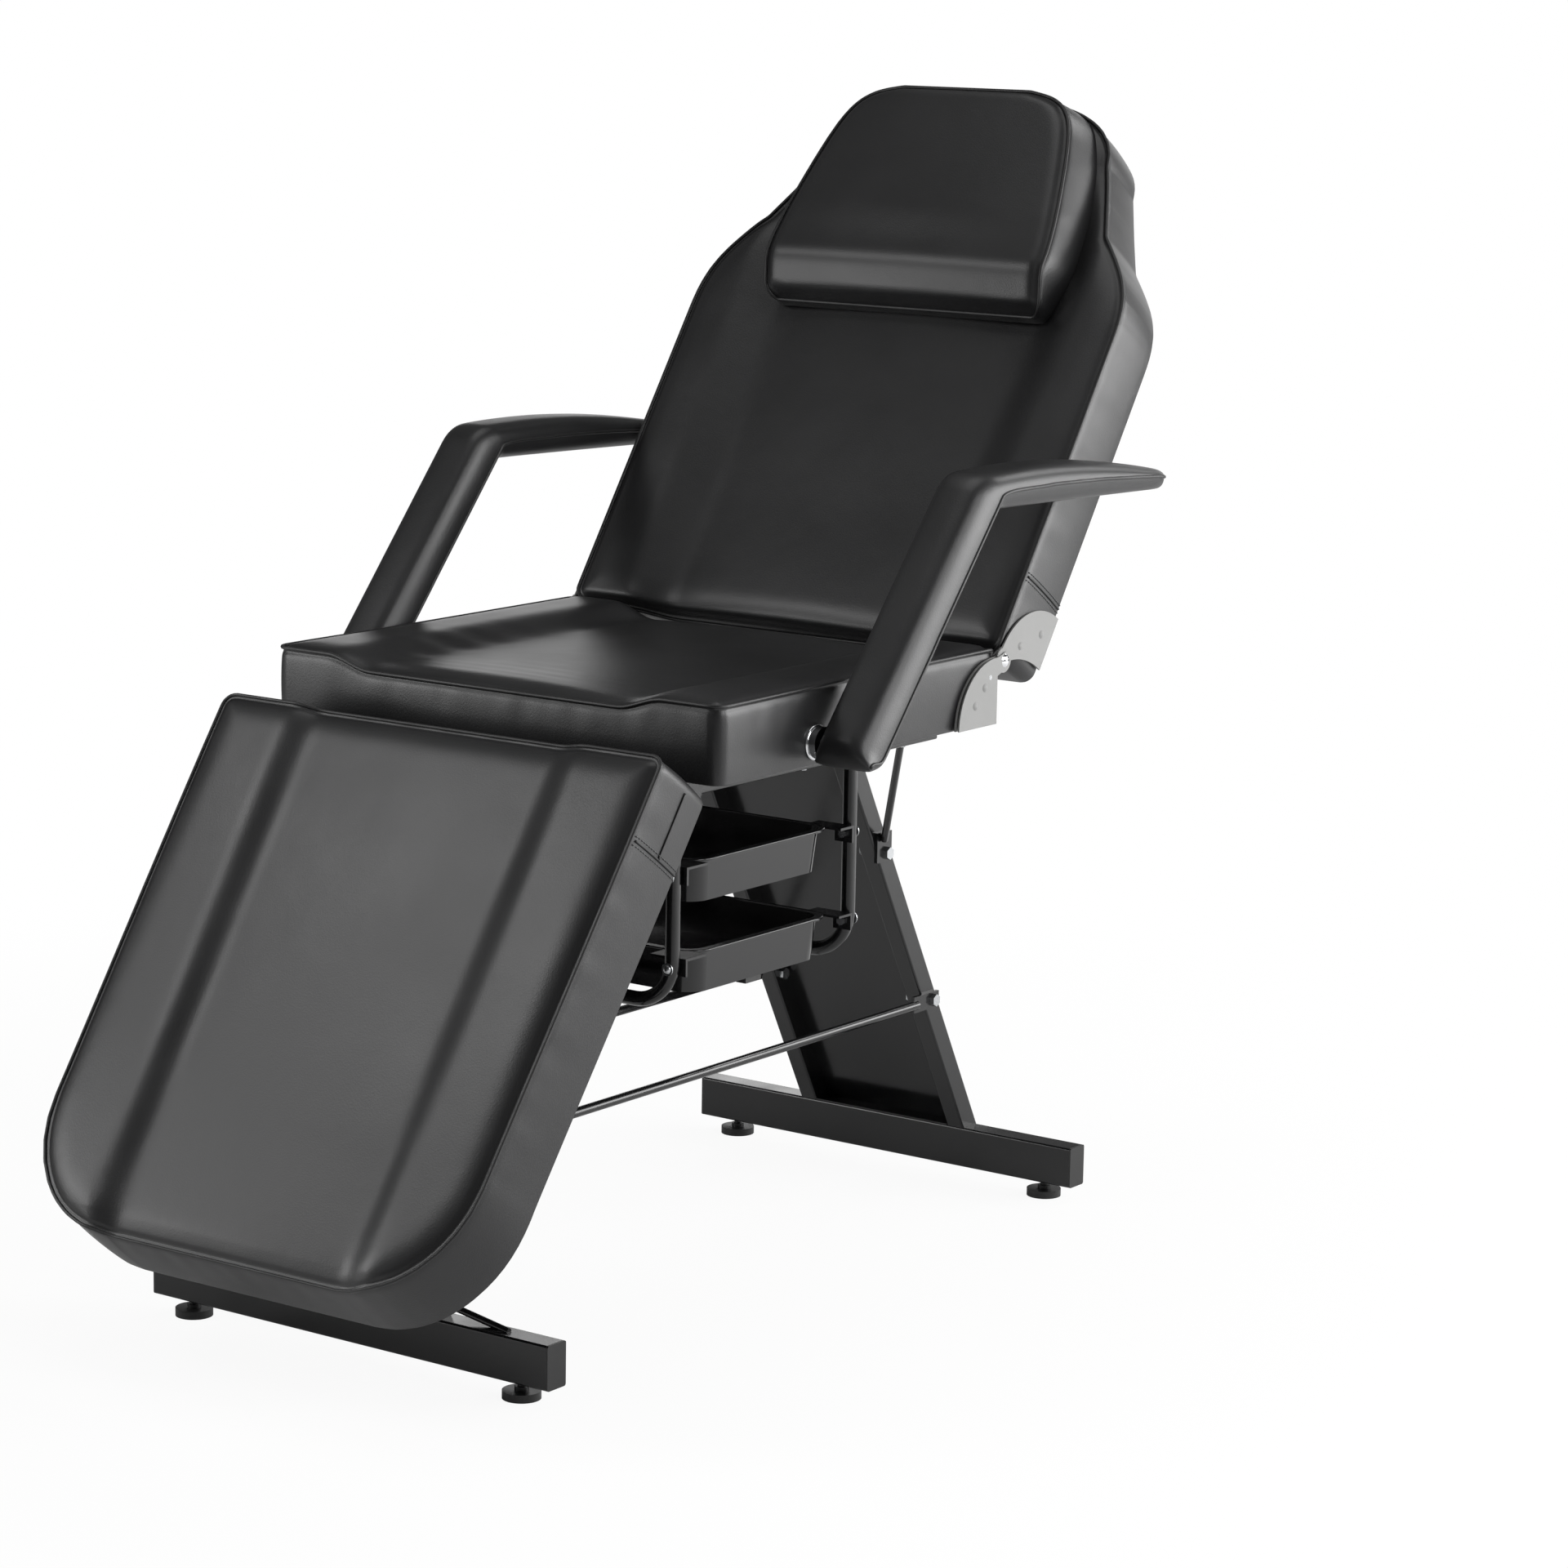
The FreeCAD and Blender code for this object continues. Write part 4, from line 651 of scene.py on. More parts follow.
    def wall_rings(self, rim: Array, seam: Array, out: Array) -> list[Array]:
        """Points of the wall and of its lip under the board.

        Args:
            rim: Outline of the face.
            seam: Height of the seam along it.
            out: Direction away from the cushion along it.

        Returns:
            One ring of points per level, from the seam down.
        """
        run = np.cumsum(np.linalg.norm(np.roll(rim, -1, 0) - rim, axis=1))
        pucker = np.sin(run / 9.1) + 0.8 * np.sin(run / 5.3 + 1) + 0.7 * np.sin(run / 23 + 2)
        rings = []
        for t in WALL_LEVELS:
            spread = (self.flare * t * smooth_step(rim[:, 1] / FLARE_REACH)
                      + self.foot_flare * t * np.maximum(out[:, 1], 0))
            folds = self.pucker * pucker * t * math.exp(1 - t / PUCKER_PEAK) / PUCKER_PEAK
            pull = self.swell(t) + spread + folds
            level = seam + (-self.thick - seam) * t
            rings.append(np.column_stack([rim + out * pull[:, None], level]))
        lips = ((rim + out * (spread - LIP_INSET)[:, None], -LIP_DROP),
                (self.shrunk(rim, self.wrap), -LIP_DROP),
                (self.shrunk(rim, self.wrap + BASE_LIFT), BASE_LIFT))
        for lip, lift in lips:
            rings.append(np.column_stack([lip, np.full(len(rim), lift - self.thick)]))
        return rings

    def build(self) -> None:
        """Build the cushion and its piping."""
        cols = self.columns()
        shape = len(self.rows), len(cols)
        x = self.width(self.rows)[:, None] * cols[None, :]
        flat = np.stack([x.ravel(), np.repeat(self.rows, len(cols))], 1)
        loop = border(*shape)
        rim = flat[loop]
        seam = self.seam_level(rim[:, 0], rim[:, 1])
        gap = np.maximum(self.gaps(flat, rim) - FACE_GAP, 0)
        face = self.face_level(flat[:, 0], flat[:, 1], gap)
        face[loop] = seam
        along = np.roll(rim, -1, 0) - np.roll(rim, 1, 0)
        out = np.stack([along[:, 1], -along[:, 0]], 1)
        out /= np.maximum(np.linalg.norm(out, axis=1), 1e-9)[:, None]

        walls = self.wall_rings(rim, seam, out)
        base = np.column_stack([self.shrunk(flat, self.wrap + BASE_INSET),
                                np.full(len(flat), BASE_LIFT - self.thick)])
        first = len(flat) + np.arange(len(walls) * len(loop)).reshape(len(walls), len(loop))
        under = len(flat) + first.size
        faces = grid_faces(*shape) + sleeve([loop, *first, under + loop])
        faces += [(a, d, c, b) for a, b, c, d in grid_faces(*shape, under)]
        points = np.vstack([np.column_stack([flat, face]), *walls, base])
        cushion = make_piece(self.name, move_all(points, self.place), faces, Finish.VINYL, levels=1)
        line = np.column_stack([rim + out * BEAD_OUT, seam + BEAD_UP])
        bead = tube(self.name + "_piping", move_all(resample(line, BEAD_STEP, True), self.place),
                    self.piping * MM, Finish.PIPING, True)
        settle(self.body, "black_vinyl", cushion, bead)
        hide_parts(self.node)
        LOG.info("%s built", self.name)


def spaced(start: float, end: float, step: float = COLUMN_STEP) -> Array:
    """Even marks from start to end, at about a step."""
    return np.linspace(start, end, max(int((end - start) / step), 2))


def end_marks(length: float, first: float, last: float) -> Array:
    """Rows along a cushion, closer at both ends.

    Args:
        length: Length in millimetres.
        first: Radius of the first end's corners.
        last: Radius of the last end's corners.

    Returns:
        The rows.
    """
    start = first * (1 - np.cos(CORNER_TURNS))
    finish = length - last * (1 - np.cos(CORNER_TURNS))
    more = np.array(END_ROWS)
    even = spaced(EDGE_MARKS[-1], length - last)
    rows = np.unique(np.round(np.concatenate([start, more, even, finish, length - more]), 2))
    keep = [rows[0]]
    for row in rows[1:]:
        if row - keep[-1] >= ROW_GAP or row == rows[-1]:
            keep.append(row)
    return np.array(keep)


def corner_width(half: float, length: float, first: float, last: float, wider: float,
                 reach: float) -> Profile:
    """Half width along a cushion with round corners at both ends.

    Args:
        half: Half width at the far end.
        length: Length of the cushion.
        first: Corner radius at the near end.
        last: Corner radius at the far end.
        wider: How much wider the near end is on each side.
        reach: Length over which that fades away.

    Returns:
        The half width as a function of the place along the cushion.
    """

    def width(s: Array) -> Array:
        ends = drawn_in(first, first - s) + drawn_in(last, s - (length - last))
        return half + wider * smooth_step(1 - s / reach) - ends

    return width


@dataclass(frozen=True)
class RowOf:
    """Small pieces set at an even pitch along a path by a Geometry Nodes tree."""

    name: str
    pitch: float
    size: Triple
    finish: Finish
    round_ends: bool = True

    def tree(self) -> NodeTree:
        """Build the tree: path to curve, even points, turned pieces, realized, with a finish."""
        group = bpy.data.node_groups.new(self.name + "_row", "GeometryNodeTree")
        sockets = (("Geometry", "INPUT", "Geometry"), ("Pitch", "INPUT", "Float"),
                   ("Out of face", "INPUT", "Vector"), ("Geometry", "OUTPUT", "Geometry"))
        for name, way, kind in sockets:
            group.interface.new_socket(name=name, in_out=way, socket_type="NodeSocket" + kind)
        start = add_node(group, "NodeGroupInput")
        curve = add_node(group, "GeometryNodeMeshToCurve", {"Mesh": start.outputs["Geometry"]})
        even = add_node(group, "GeometryNodeResampleCurve", {
            "Curve": curve.outputs[0], "Length": start.outputs["Pitch"]}, mode="LENGTH")
        tangent = add_node(group, "GeometryNodeInputTangent")
        along = add_node(group, "FunctionNodeAlignRotationToVector", {
            "Vector": tangent.outputs[0]}, axis="X")
        upright = add_node(group, "FunctionNodeAlignRotationToVector", {
            "Rotation": along.outputs[0], "Vector": start.outputs["Out of face"]},
            axis="Z", pivot_axis="X")
        if self.round_ends:
            bit = add_node(group, "GeometryNodeMeshUVSphere", {
                "Segments": 8, "Rings": 6, "Radius": 0.5})
        else:
            bit = add_node(group, "GeometryNodeMeshCube", {"Size": (1.0, 1.0, 1.0)})
        sized = add_node(group, "GeometryNodeTransform", {
            "Geometry": bit.outputs[0], "Scale": tuple(v * MM for v in self.size)})
        placed = add_node(group, "GeometryNodeInstanceOnPoints", {
            "Points": even.outputs[0], "Instance": sized.outputs[0],
            "Rotation": upright.outputs[0]})
        real = add_node(group, "GeometryNodeRealizeInstances", {"Geometry": placed.outputs[0]})
        coloured = add_node(group, "GeometryNodeSetMaterial", {
            "Geometry": real.outputs[0], "Material": Shop.material(self.finish)})
        add_node(group, "NodeGroupOutput", {"Geometry": coloured.outputs[0]})
        return group

    def lay(self, path: Array, closed: bool, outward: Sequence[float], body: str,
            slot: str) -> None:
        """Set the pieces along a path, as one plain mesh.

        Args:
            path: Points in metres.
            closed: Whether the path returns to its start.
            outward: Direction away from the face they lie on.
            body: The body they ride on.
            slot: The record's material slot; not used.
        """
        count = len(path)
        edges = [(k, (k + 1) % count) for k in range(count if closed else count - 1)]
        mesh = bpy.data.meshes.new(self.name)
        mesh.from_pydata([tuple(p) for p in path], edges, [])
        piece = bpy.data.objects.new(self.name, mesh)
        bpy.context.scene.collection.objects.link(piece)
        modifier = piece.modifiers.new("row", "NODES")
        modifier.node_group = self.tree()
        values = {"Pitch": self.pitch * MM, "Out of face": tuple(float(v) for v in outward)}
        for item in modifier.node_group.interface.items_tree:
            if item.in_out == "INPUT" and item.name in values:
                modifier[item.identifier] = values[item.name]
        bake(piece)
        settle(body, slot, piece)


def seam_line(name: str, path: Array, body: str) -> None:
    """Lay the folded edge of a seam along a path in metres, as a tube in the darker piping finish,
    which partly paints the shade of the seam's groove.
    """
    marks = resample(path, SEAM_STEP * MM, False)
    line = tube(name, marks, SEAM_RADIUS * MM, Finish.PIPING, False, sides=6)
    settle(body, "black_vinyl", line)


def seam_across(name: str, cushion: PanelCushion, s: float) -> None:
    """Lay a seam down one wall of a cushion, stitched on both sides.

    Args:
        name: The seam's name.
        cushion: The cushion.
        s: Place along the cushion in millimetres.
    """
    seam_line(name, cushion.wall_path(s, SEAM_SHARES, SEAM_LIFT), cushion.body)
    for tag, shift in (("above", STITCH_SHIFT), ("below", -STITCH_SHIFT)):
        row = RowOf(f"{name}_stitches_{tag}", STITCH_PITCH, STITCH_SIZE, Finish.THREAD)
        path = cushion.wall_path(s + shift, SEAM_SHARES, STITCH_LIFT)
        row.lay(path, False, (1, 0, 0), cushion.body, "black_vinyl")


def staple_row(name: str, ring: Array, way: Sequence[float], body: str) -> None:
    """Staple the cover under a board, along a closed ring in metres."""
    row = RowOf(name, STAPLE_PITCH, STAPLE_SIZE, Finish.ZINC, round_ends=False)
    row.lay(ring, True, way, body, "zinc_steel")


def staple_ring(name: str, cushion: PanelCushion) -> None:
    """Staple the cover under a cushion, along its own outline."""
    first, last = STAPLE_ENDS
    marks = np.linspace(first, cushion.length - last, STAPLE_MARKS)
    right = np.array([(min(cushion.half, cushion.half_at(s)) - STAPLE_INSET, s) for s in marks])
    edge = np.vstack([right, (right * (-1, 1))[::-1]])
    ring = np.column_stack([edge, np.full(len(edge), -cushion.thick - STAPLE_DROP)])
    way = [-v for v in cushion.place.col[2][:3]]
    staple_row(name, move_all(ring, cushion.place), way, cushion.body)


@dataclass
class Seat:
    """The seat cushion, with raised sides and a dished middle."""

    half: float = 278.0
    front: float = -254.0
    rear: float = 233.0
    top: float = 648.6
    thick: float = 77.0
    corner: float = 13.0
    wider: Pair = (5.0, 220.0)
    cover_inset: float = 12.0
    cover_levels: Pair = (-0.9, -0.2)
    staple_inset: float = 17.0
    staple_drop: float = 1.0

    def folds(self, x: Array, s: Array, rise: Array) -> Array:
        """Faint stretch folds in the cover near the front of the dish."""
        front = bell(s, 70, 45) * bell(x, -20, 150)
        sides = bell(np.abs(x), 178, 26) * bell(s, 130, 110)
        return rise * (0.5 * np.sin(s / 3.7 + x / 60) * front
                       + 0.7 * np.sin(s / 9.0 + np.abs(x) / 14) * sides)

    def corners(self, inset: float, drop: float) -> list[Triple]:
        """Corners of a rectangle under the seat, in metres."""
        x, z = self.half - inset, self.top - self.thick - drop
        front, rear = self.front + inset, self.rear - inset
        spots = ((-x, front), (x, front), (x, rear), (-x, rear))
        return [(across * MM, y * MM, z * MM) for across, y in spots]

    def dust_cover(self) -> None:
        """Thin cloth stapled under the seat board."""
        points = [p for level in self.cover_levels for p in self.corners(self.cover_inset, -level)]
        faces = [(0, 3, 2, 1), (4, 5, 6, 7), *sleeve([(0, 1, 2, 3), (4, 5, 6, 7)])]
        cloth = make_piece("seat_dust_cover", np.array(points), faces, Finish.CLOTH)
        settle("chair_base", "black_cloth", cloth)

    def build(self) -> None:
        """Build the seat with its dust cover and staples."""
        length = self.rear - self.front
        PanelCushion(
            "seat_upholstery", "chair_base", "seat_cushion", self.half, length, self.thick,
            lean_matrix(0, 0, (0, self.front, self.top)),
            corner_width(self.half, length, self.corner, self.corner, *self.wider),
            end_marks(length, self.corner, self.corner), puff=6.5, dish=(13.0, 16.0, 16.0),
            roll=(0.0, self.corner), wrap=14.0, extra=self.folds).build()
        self.dust_cover()
        ring = np.array(self.corners(self.staple_inset, self.staple_drop))
        staple_row("seat_staples", ring, (0, 0, -1), "chair_base")


@dataclass
class Backrest:
    """The backrest cushion, wide below and drawn in at the shoulders to a round head."""

    half: float = 280.3
    length: float = 663.0
    thick: float = 80.0
    corner: float = 13.0
    neck: Pair = (591.0, 186.0)
    crown_half: float = 68.0
    shoulder: tuple[Pair, ...] = (
        (0, 280.3), (380, 280.3), (395, 279.6), (410, 277.6), (425, 273.6), (440, 267.3),
        (455, 258.4), (470, 247.2), (484, 235.8), (497, 224.6), (540, 206.4), (591, 186.0))
    head_corner: float = 72.0
    shoulder_rows: Triple = (385.0, 590.0, 7.0)
    row_gap: float = 0.55
    cross_seam: float = 89.0

    def width(self, s: Array) -> Array:
        """Half width along the backrest."""
        body = np.interp(s, *np.transpose(self.shoulder))
        start, neck_half = self.neck
        t = np.clip((s - start) / (self.length - start), 0, 1)
        head = self.crown_half + (neck_half - self.crown_half) * np.sqrt(1 - t ** 2)
        return np.where(s > start, head, body) - drawn_in(self.corner, self.corner - s)

    def rows(self) -> Array:
        """Rows along the backrest, closer at both ends and at the shoulders."""
        ends = end_marks(self.length, self.corner, self.head_corner)
        rows = np.unique(np.round(np.concatenate([ends, spaced(*self.shoulder_rows)]), 1))
        rows = rows[np.concatenate([[True], np.diff(rows) > self.row_gap])]
        return rows if rows[-1] >= self.length else np.append(rows, self.length)

    def build(self) -> None:
        """Build the backrest with its cross seam and staples."""
        cushion = PanelCushion(
            "back_upholstery", "backrest", "back_cushion", self.half, self.length, self.thick,
            lean_matrix(0, BACK_LEAN, BACK_FOOT), self.width, self.rows(), puff=7.0,
            dish=(15.0, 19.0, 7.0), valley=(150.0, 215.0, 30.0), roll=(self.corner, 0.0))
        cushion.build()
        seam_across("back_cross_seam", cushion, self.cross_seam)
        staple_ring("back_staples", cushion)


@dataclass
class LegRest:
    """The leg rest cushion, with two soft valleys beside a flat middle panel."""

    half: float = 270.0
    length: float = 568.5
    thick: float = 82.0
    corners: Pair = (13.0, 122.0)
    wider: Pair = (8.0, 560.0)
    foot_dish: Triple = (1.5, 0.7, 0.25)
    cross_seam: float = 85.0
    boxing_share: float = 0.57
    slope: float = 55.1
    top: Triple = (0.0, -334.6, 610.5)

    def build(self) -> None:
        """Build the leg rest with its seams and staples."""

        def deepen(x: Array, s: Array, rise: Array) -> Array:
            """Keep the middle panel low down to the foot."""
            depth, start, run = self.foot_dish
            share = smooth_step((s / self.length - start) / run)
            return -depth * share * cushion.inside(x, s) * rise

        cushion = PanelCushion(
            "leg_upholstery", "leg_rest", "leg_cushion", self.half, self.length, self.thick,
            lean_matrix(180, self.slope, self.top),
            corner_width(self.half, self.length, *self.corners, *self.wider),
            end_marks(self.length, *self.corners), puff=7.0, dish=(10.0, 11.0, 9.0),
            valley=(152.0, 190.0, -20.0), other_valley=(145.0, 186.0, 2.0), crown=1.0,
            wall_side=-1, wrap=17.0, foot_flare=8.5, piping=1.7, extra=deepen)
        cushion.build()
        seam_across("leg_cross_seam", cushion, self.cross_seam)
        share = np.array([self.boxing_share])
        marks = np.linspace(STAPLE_INSET, self.cross_seam, 14)
        along = [cushion.wall_path(s, share) for s in marks]
        seam_line("leg_boxing_seam", np.vstack(along), "leg_rest")
        staple_ring("leg_staples", cushion)


@dataclass
class HeadPillow:
    """The head pillow: a neck roll along its foot and a crowned pad above."""

    foot: float = 390.0
    length: float = 259.5
    half: float = 181.0
    corner: float = 12.0
    head_corner: float = 21.0
    aside: float = 7.0
    base_n: float = -9.7
    thick: float = 50.0
    foot_wall: float = 14.5
    roll_length: float = 39.0
    halves: tuple[Pair, ...] = (
        (0, 181), (62, 181), (90, 178), (115, 173.8), (140, 169), (165, 163.8), (190, 157.8),
        (210, 151.8), (226, 145), (238, 136.5), (247, 126), (253, 114), (257, 101), (259.5, 84))
    easing: int = 12

    def width(self, s: Array) -> Array:
        """Half width along the pillow, from its foot."""
        fine = np.linspace(0, self.length, 261)
        eased = np.interp(fine, *np.transpose(self.halves))
        for _ in range(self.easing):
            eased[1:-1] = (eased[:-2] + eased[1:-1] + eased[2:]) / 3
        return np.interp(s, fine, eased) - drawn_in(self.corner, self.corner - s)

    def drop(self, s: Array) -> Array:
        """How far the seam falls towards the foot."""
        u = np.clip((self.roll_length - s) / self.roll_length, 0, 1)
        full = self.thick - self.foot_wall
        return full * (0.70 * u * smooth_step(u / 0.12) + 0.30 * u ** 10)

    def form(self, x: Array, s: Array, rise: Array) -> Array:
        """Neck roll, soft crease and crown."""
        fullness = 0.5 * np.sin(math.pi * np.clip(s / self.roll_length, 0, 1))
        crown = 5.0 * smooth_step((s - 50) / 60) * np.clip(1 - (x / 190) ** 2, 0, 1)
        foot = 8.0 * (1 - rise) * smooth_step(s / 8) * smooth_step((32 - s) / 10)
        return (fullness + crown) * rise + foot * smooth_step((self.half - np.abs(x) - 4) / 22)

    def build(self) -> None:
        """Build the pillow on the backrest."""
        turn = Matrix.Rotation(math.radians(BACK_LEAN), 4, "X")
        start = turn @ Vector((self.aside, self.foot, self.base_n + self.thick)) * MM
        PanelCushion(
            "pillow_upholstery", "backrest", "head_pillow", self.half, self.length, self.thick,
            Matrix.Translation(start + Vector(BACK_FOOT) * MM) @ turn, self.width,
            end_marks(self.length, self.corner, self.head_corner), puff=6.0, dish=(0.0, 0.0, 0.0),
            crown=2.0, bulge=1.5, edge_reach=15.0, fill=0.85, wrap=2.0, flare=13.0,
            drop=self.drop, extra=self.form).build()


@dataclass
class PaddedArm:
    """An arm: a round-ended post, a soft elbow and a level pad drawn out to a tip."""

    side: int
    inner: float = 292.0
    width: float = 65.0
    foot: Pair = (-93.0, 594.0)
    elbow: Pair = (105.0, 829.0)
    tip: Pair = (451.0, 813.5)
    post_half: float = 22.5
    pad_half: Pair = (19.0, 11.0)
    bend: float = 45.0
    crook: float = 7.0
    top_angle: float = 2.5
    tip_round: float = 28.0
    outline_rows: tuple[int, int, int] = (24, 12, 34)  # of the post, the bend and the pad
    seam_offset: float = 13.5
    seam_marks: tuple[Pair, ...] = (
        (120.0, 826.7), (135.0, 828.6), (150.0, 829.0), (227.0, 829.0), (306.0, 826.5),
        (387.0, 822.0), (429.0, 819.0), (452.0, 815.0))
    section_turns: tuple[int, int] = (21, 15)
    squareness: Triple = (0.6, 0.4, 0.34)  # powers of the outer panel's halves and the inner
    inner_fill: float = 0.98
    seam_band: Pair = (0.08, 0.92)
    piping: float = 2.0
    piping_sink: float = 0.3

    def post(self) -> tuple[Array, Array, Array]:
        """Foot of the post, its direction up and its direction outward, in the side view."""
        foot, elbow = np.array(self.foot), np.array(self.elbow)
        up = (elbow - foot) / np.linalg.norm(elbow - foot)
        return foot, up, np.array([-up[1], up[0]])

    def outline(self) -> tuple[Array, Array]:
        """Outer and inner edge of the side view, in pairs of points.

        Returns:
            Outer points and inner points, as rows of y and z.
        """
        foot, up, out = self.post()
        elbow, tip = np.array(self.elbow), np.array(self.tip)
        level = (tip - elbow) / np.linalg.norm(tip - elbow)
        above = np.array([-level[1], level[0]])
        half_a, half_b = self.pad_half
        run = np.linalg.norm(tip - elbow)
        rise = math.radians(self.top_angle)
        top = np.array([math.cos(rise), math.sin(rise)])
        low = level + above * (half_a - half_b) / run

        def meet(p: Array, d: Array, q: Array, e: Array) -> Array:
            """Where two lines cross."""
            det = d[0] * e[1] - d[1] * e[0]
            return p + d * (((q - p)[0] * e[1] - (q - p)[1] * e[0]) / det)

        corner = meet(foot + out * self.post_half, up, elbow + above * half_a, top)
        inner = meet(foot - out * self.post_half, up, elbow - above * half_a, low)
        half_turn = (math.atan2(up[1], up[0]) - rise) / 2
        back = self.bend * math.tan(half_turn)
        start, finish = corner - up * back, corner + top * back
        centre = start - out * self.bend
        side = out * self.post_half
        rise_out = np.linalg.norm(start - foot - side)
        rise_in = np.linalg.norm(inner - foot + side)
        end_run = run - half_b
        top_far = elbow + level * end_run + above * half_b
        low_far = elbow + level * end_run - above * half_b
        chord = top_far - finish
        fall = rise - math.atan2(chord[1], chord[0])
        arch = np.array([-chord[1], chord[0]]) * math.tan(fall / 2) / 2
        pad_start = inner + low * self.crook

        foot_turns = CORNER_TURNS[:-1, None]
        foot_end = foot - up * self.post_half * np.cos(foot_turns)
        post, bend, pad = (np.linspace(0, 1, rows)[:, None] for rows in self.outline_rows)
        bend = bend[1:-1]
        arc = math.atan2(out[1], out[0]) - 2 * half_turn * bend
        near = np.where(bend < 0.5, -up * (1 - 2 * bend), low * (2 * bend - 1))
        tip_turns = np.linspace(0, math.pi / 2, 8)[1:, None]
        tip_end = elbow + level * (end_run + half_b * np.sin(tip_turns))
        pairs = (
            (foot_end + side * np.sin(foot_turns), foot_end - side * np.sin(foot_turns)),
            (foot + side + up * rise_out * post, foot - side + up * (rise_in - self.crook) * post),
            (centre + self.bend * np.hstack([np.cos(arc), np.sin(arc)]), inner + near * self.crook),
            (finish + chord * pad + arch * 4 * pad * (1 - pad),
             pad_start + (low_far - pad_start) * pad),
            (tip_end + above * half_b * np.cos(tip_turns),
             tip_end - above * half_b * np.cos(tip_turns)))
        outer_points, inner_points = (np.vstack(edge) for edge in zip(*pairs))
        return outer_points, inner_points

    def seam_shares(self, outer: Array, inner: Array) -> Array:
        """Where the seam crosses each row, as a share from the inner to the outer edge."""
        foot, up, out = self.post()
        line = [foot - self.seam_offset * (up * math.cos(turn) + out * math.sin(turn))
                for turn in np.linspace(0, math.pi / 2, 8)]
        dense = resample(np.vstack([line, self.seam_marks]), 1.0, False)
        marks = np.linspace(*self.seam_band, 85)
        shares = []
        for a, b in zip(outer, inner):
            spots = b + (a - b) * marks[:, None]
            far = ((spots[:, None] - dense[None]) ** 2).sum(2).min(1)
            shares.append(marks[int(np.argmin(far))])
        return np.array(shares)

    def half_at(self, y: float) -> float:
        """Half width of the arm, drawn in at the round tip."""
        past = y - (self.tip[0] - self.tip_round)
        return self.width / 2 - float(drawn_in(self.tip_round, past))

    def section(self, half: float, thick: float, share: float) -> tuple[Array, Array]:
        """One ring: a crowned outer panel and a flatter inner panel that meet in two seams.

        Args:
            half: Half width.
            thick: Distance between inner and outer edge.
            share: Where the seam lies.

        Returns:
            Places across and heights from the inner edge.
        """
        seam = thick * share
        near, far, under = self.squareness
        over = np.linspace(0, math.pi, self.section_turns[0])[:-1]
        below = np.linspace(math.pi, 2 * math.pi, self.section_turns[1])[:-1]
        cosines = np.cos(np.concatenate([over, below]))
        powers = np.concatenate([
            np.where(over < math.pi / 2, near, far), np.full_like(below, under)])
        heights = np.concatenate([
            seam + (thick - seam) * np.sin(over), seam + seam * np.sin(below) * self.inner_fill])
        return half * np.copysign(np.abs(cosines) ** powers, cosines), heights

    def build(self) -> None:
        """Build the padded arm with its seam piping."""
        outer, inner = self.outline()
        middle_x = self.inner + self.width / 2
        loops, right, left = [], [], []
        for a, b, share in zip(outer, inner, self.seam_shares(outer, inner)):
            way = a - b
            thick = float(np.linalg.norm(way))
            way = way / thick if thick > 1e-6 else np.array([0.0, 1.0])
            half = self.half_at(float((a + b)[0] / 2))
            across, height = self.section(half, thick, share)
            spots = b + way * height[:, None]
            loops.append(np.column_stack([self.side * (middle_x + across), spots]))
            seam = b + way * thick * share
            right.append((self.side * (middle_x + half - self.piping_sink), *seam))
            left.append((self.side * (middle_x - half + self.piping_sink), *seam))
        points = np.vstack(loops) * MM
        rings = np.arange(len(points)).reshape(len(outer), -1)
        faces = [*sleeve(rings), rings[0], rings[-1]]
        name = "right" if self.side > 0 else "left"
        pad = make_piece("arm_upholstery_" + name, points, faces, Finish.VINYL, levels=1)
        line = resample(np.array(right[2:] + left[:1:-1]), BEAD_STEP, False) * MM
        bead = tube("arm_piping_" + name, line, self.piping * MM, Finish.PIPING, False)
        settle("arm_" + name, "black_vinyl", pad, bead)
        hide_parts("arm_pad_" + name)
        LOG.info("arm %s built", name)


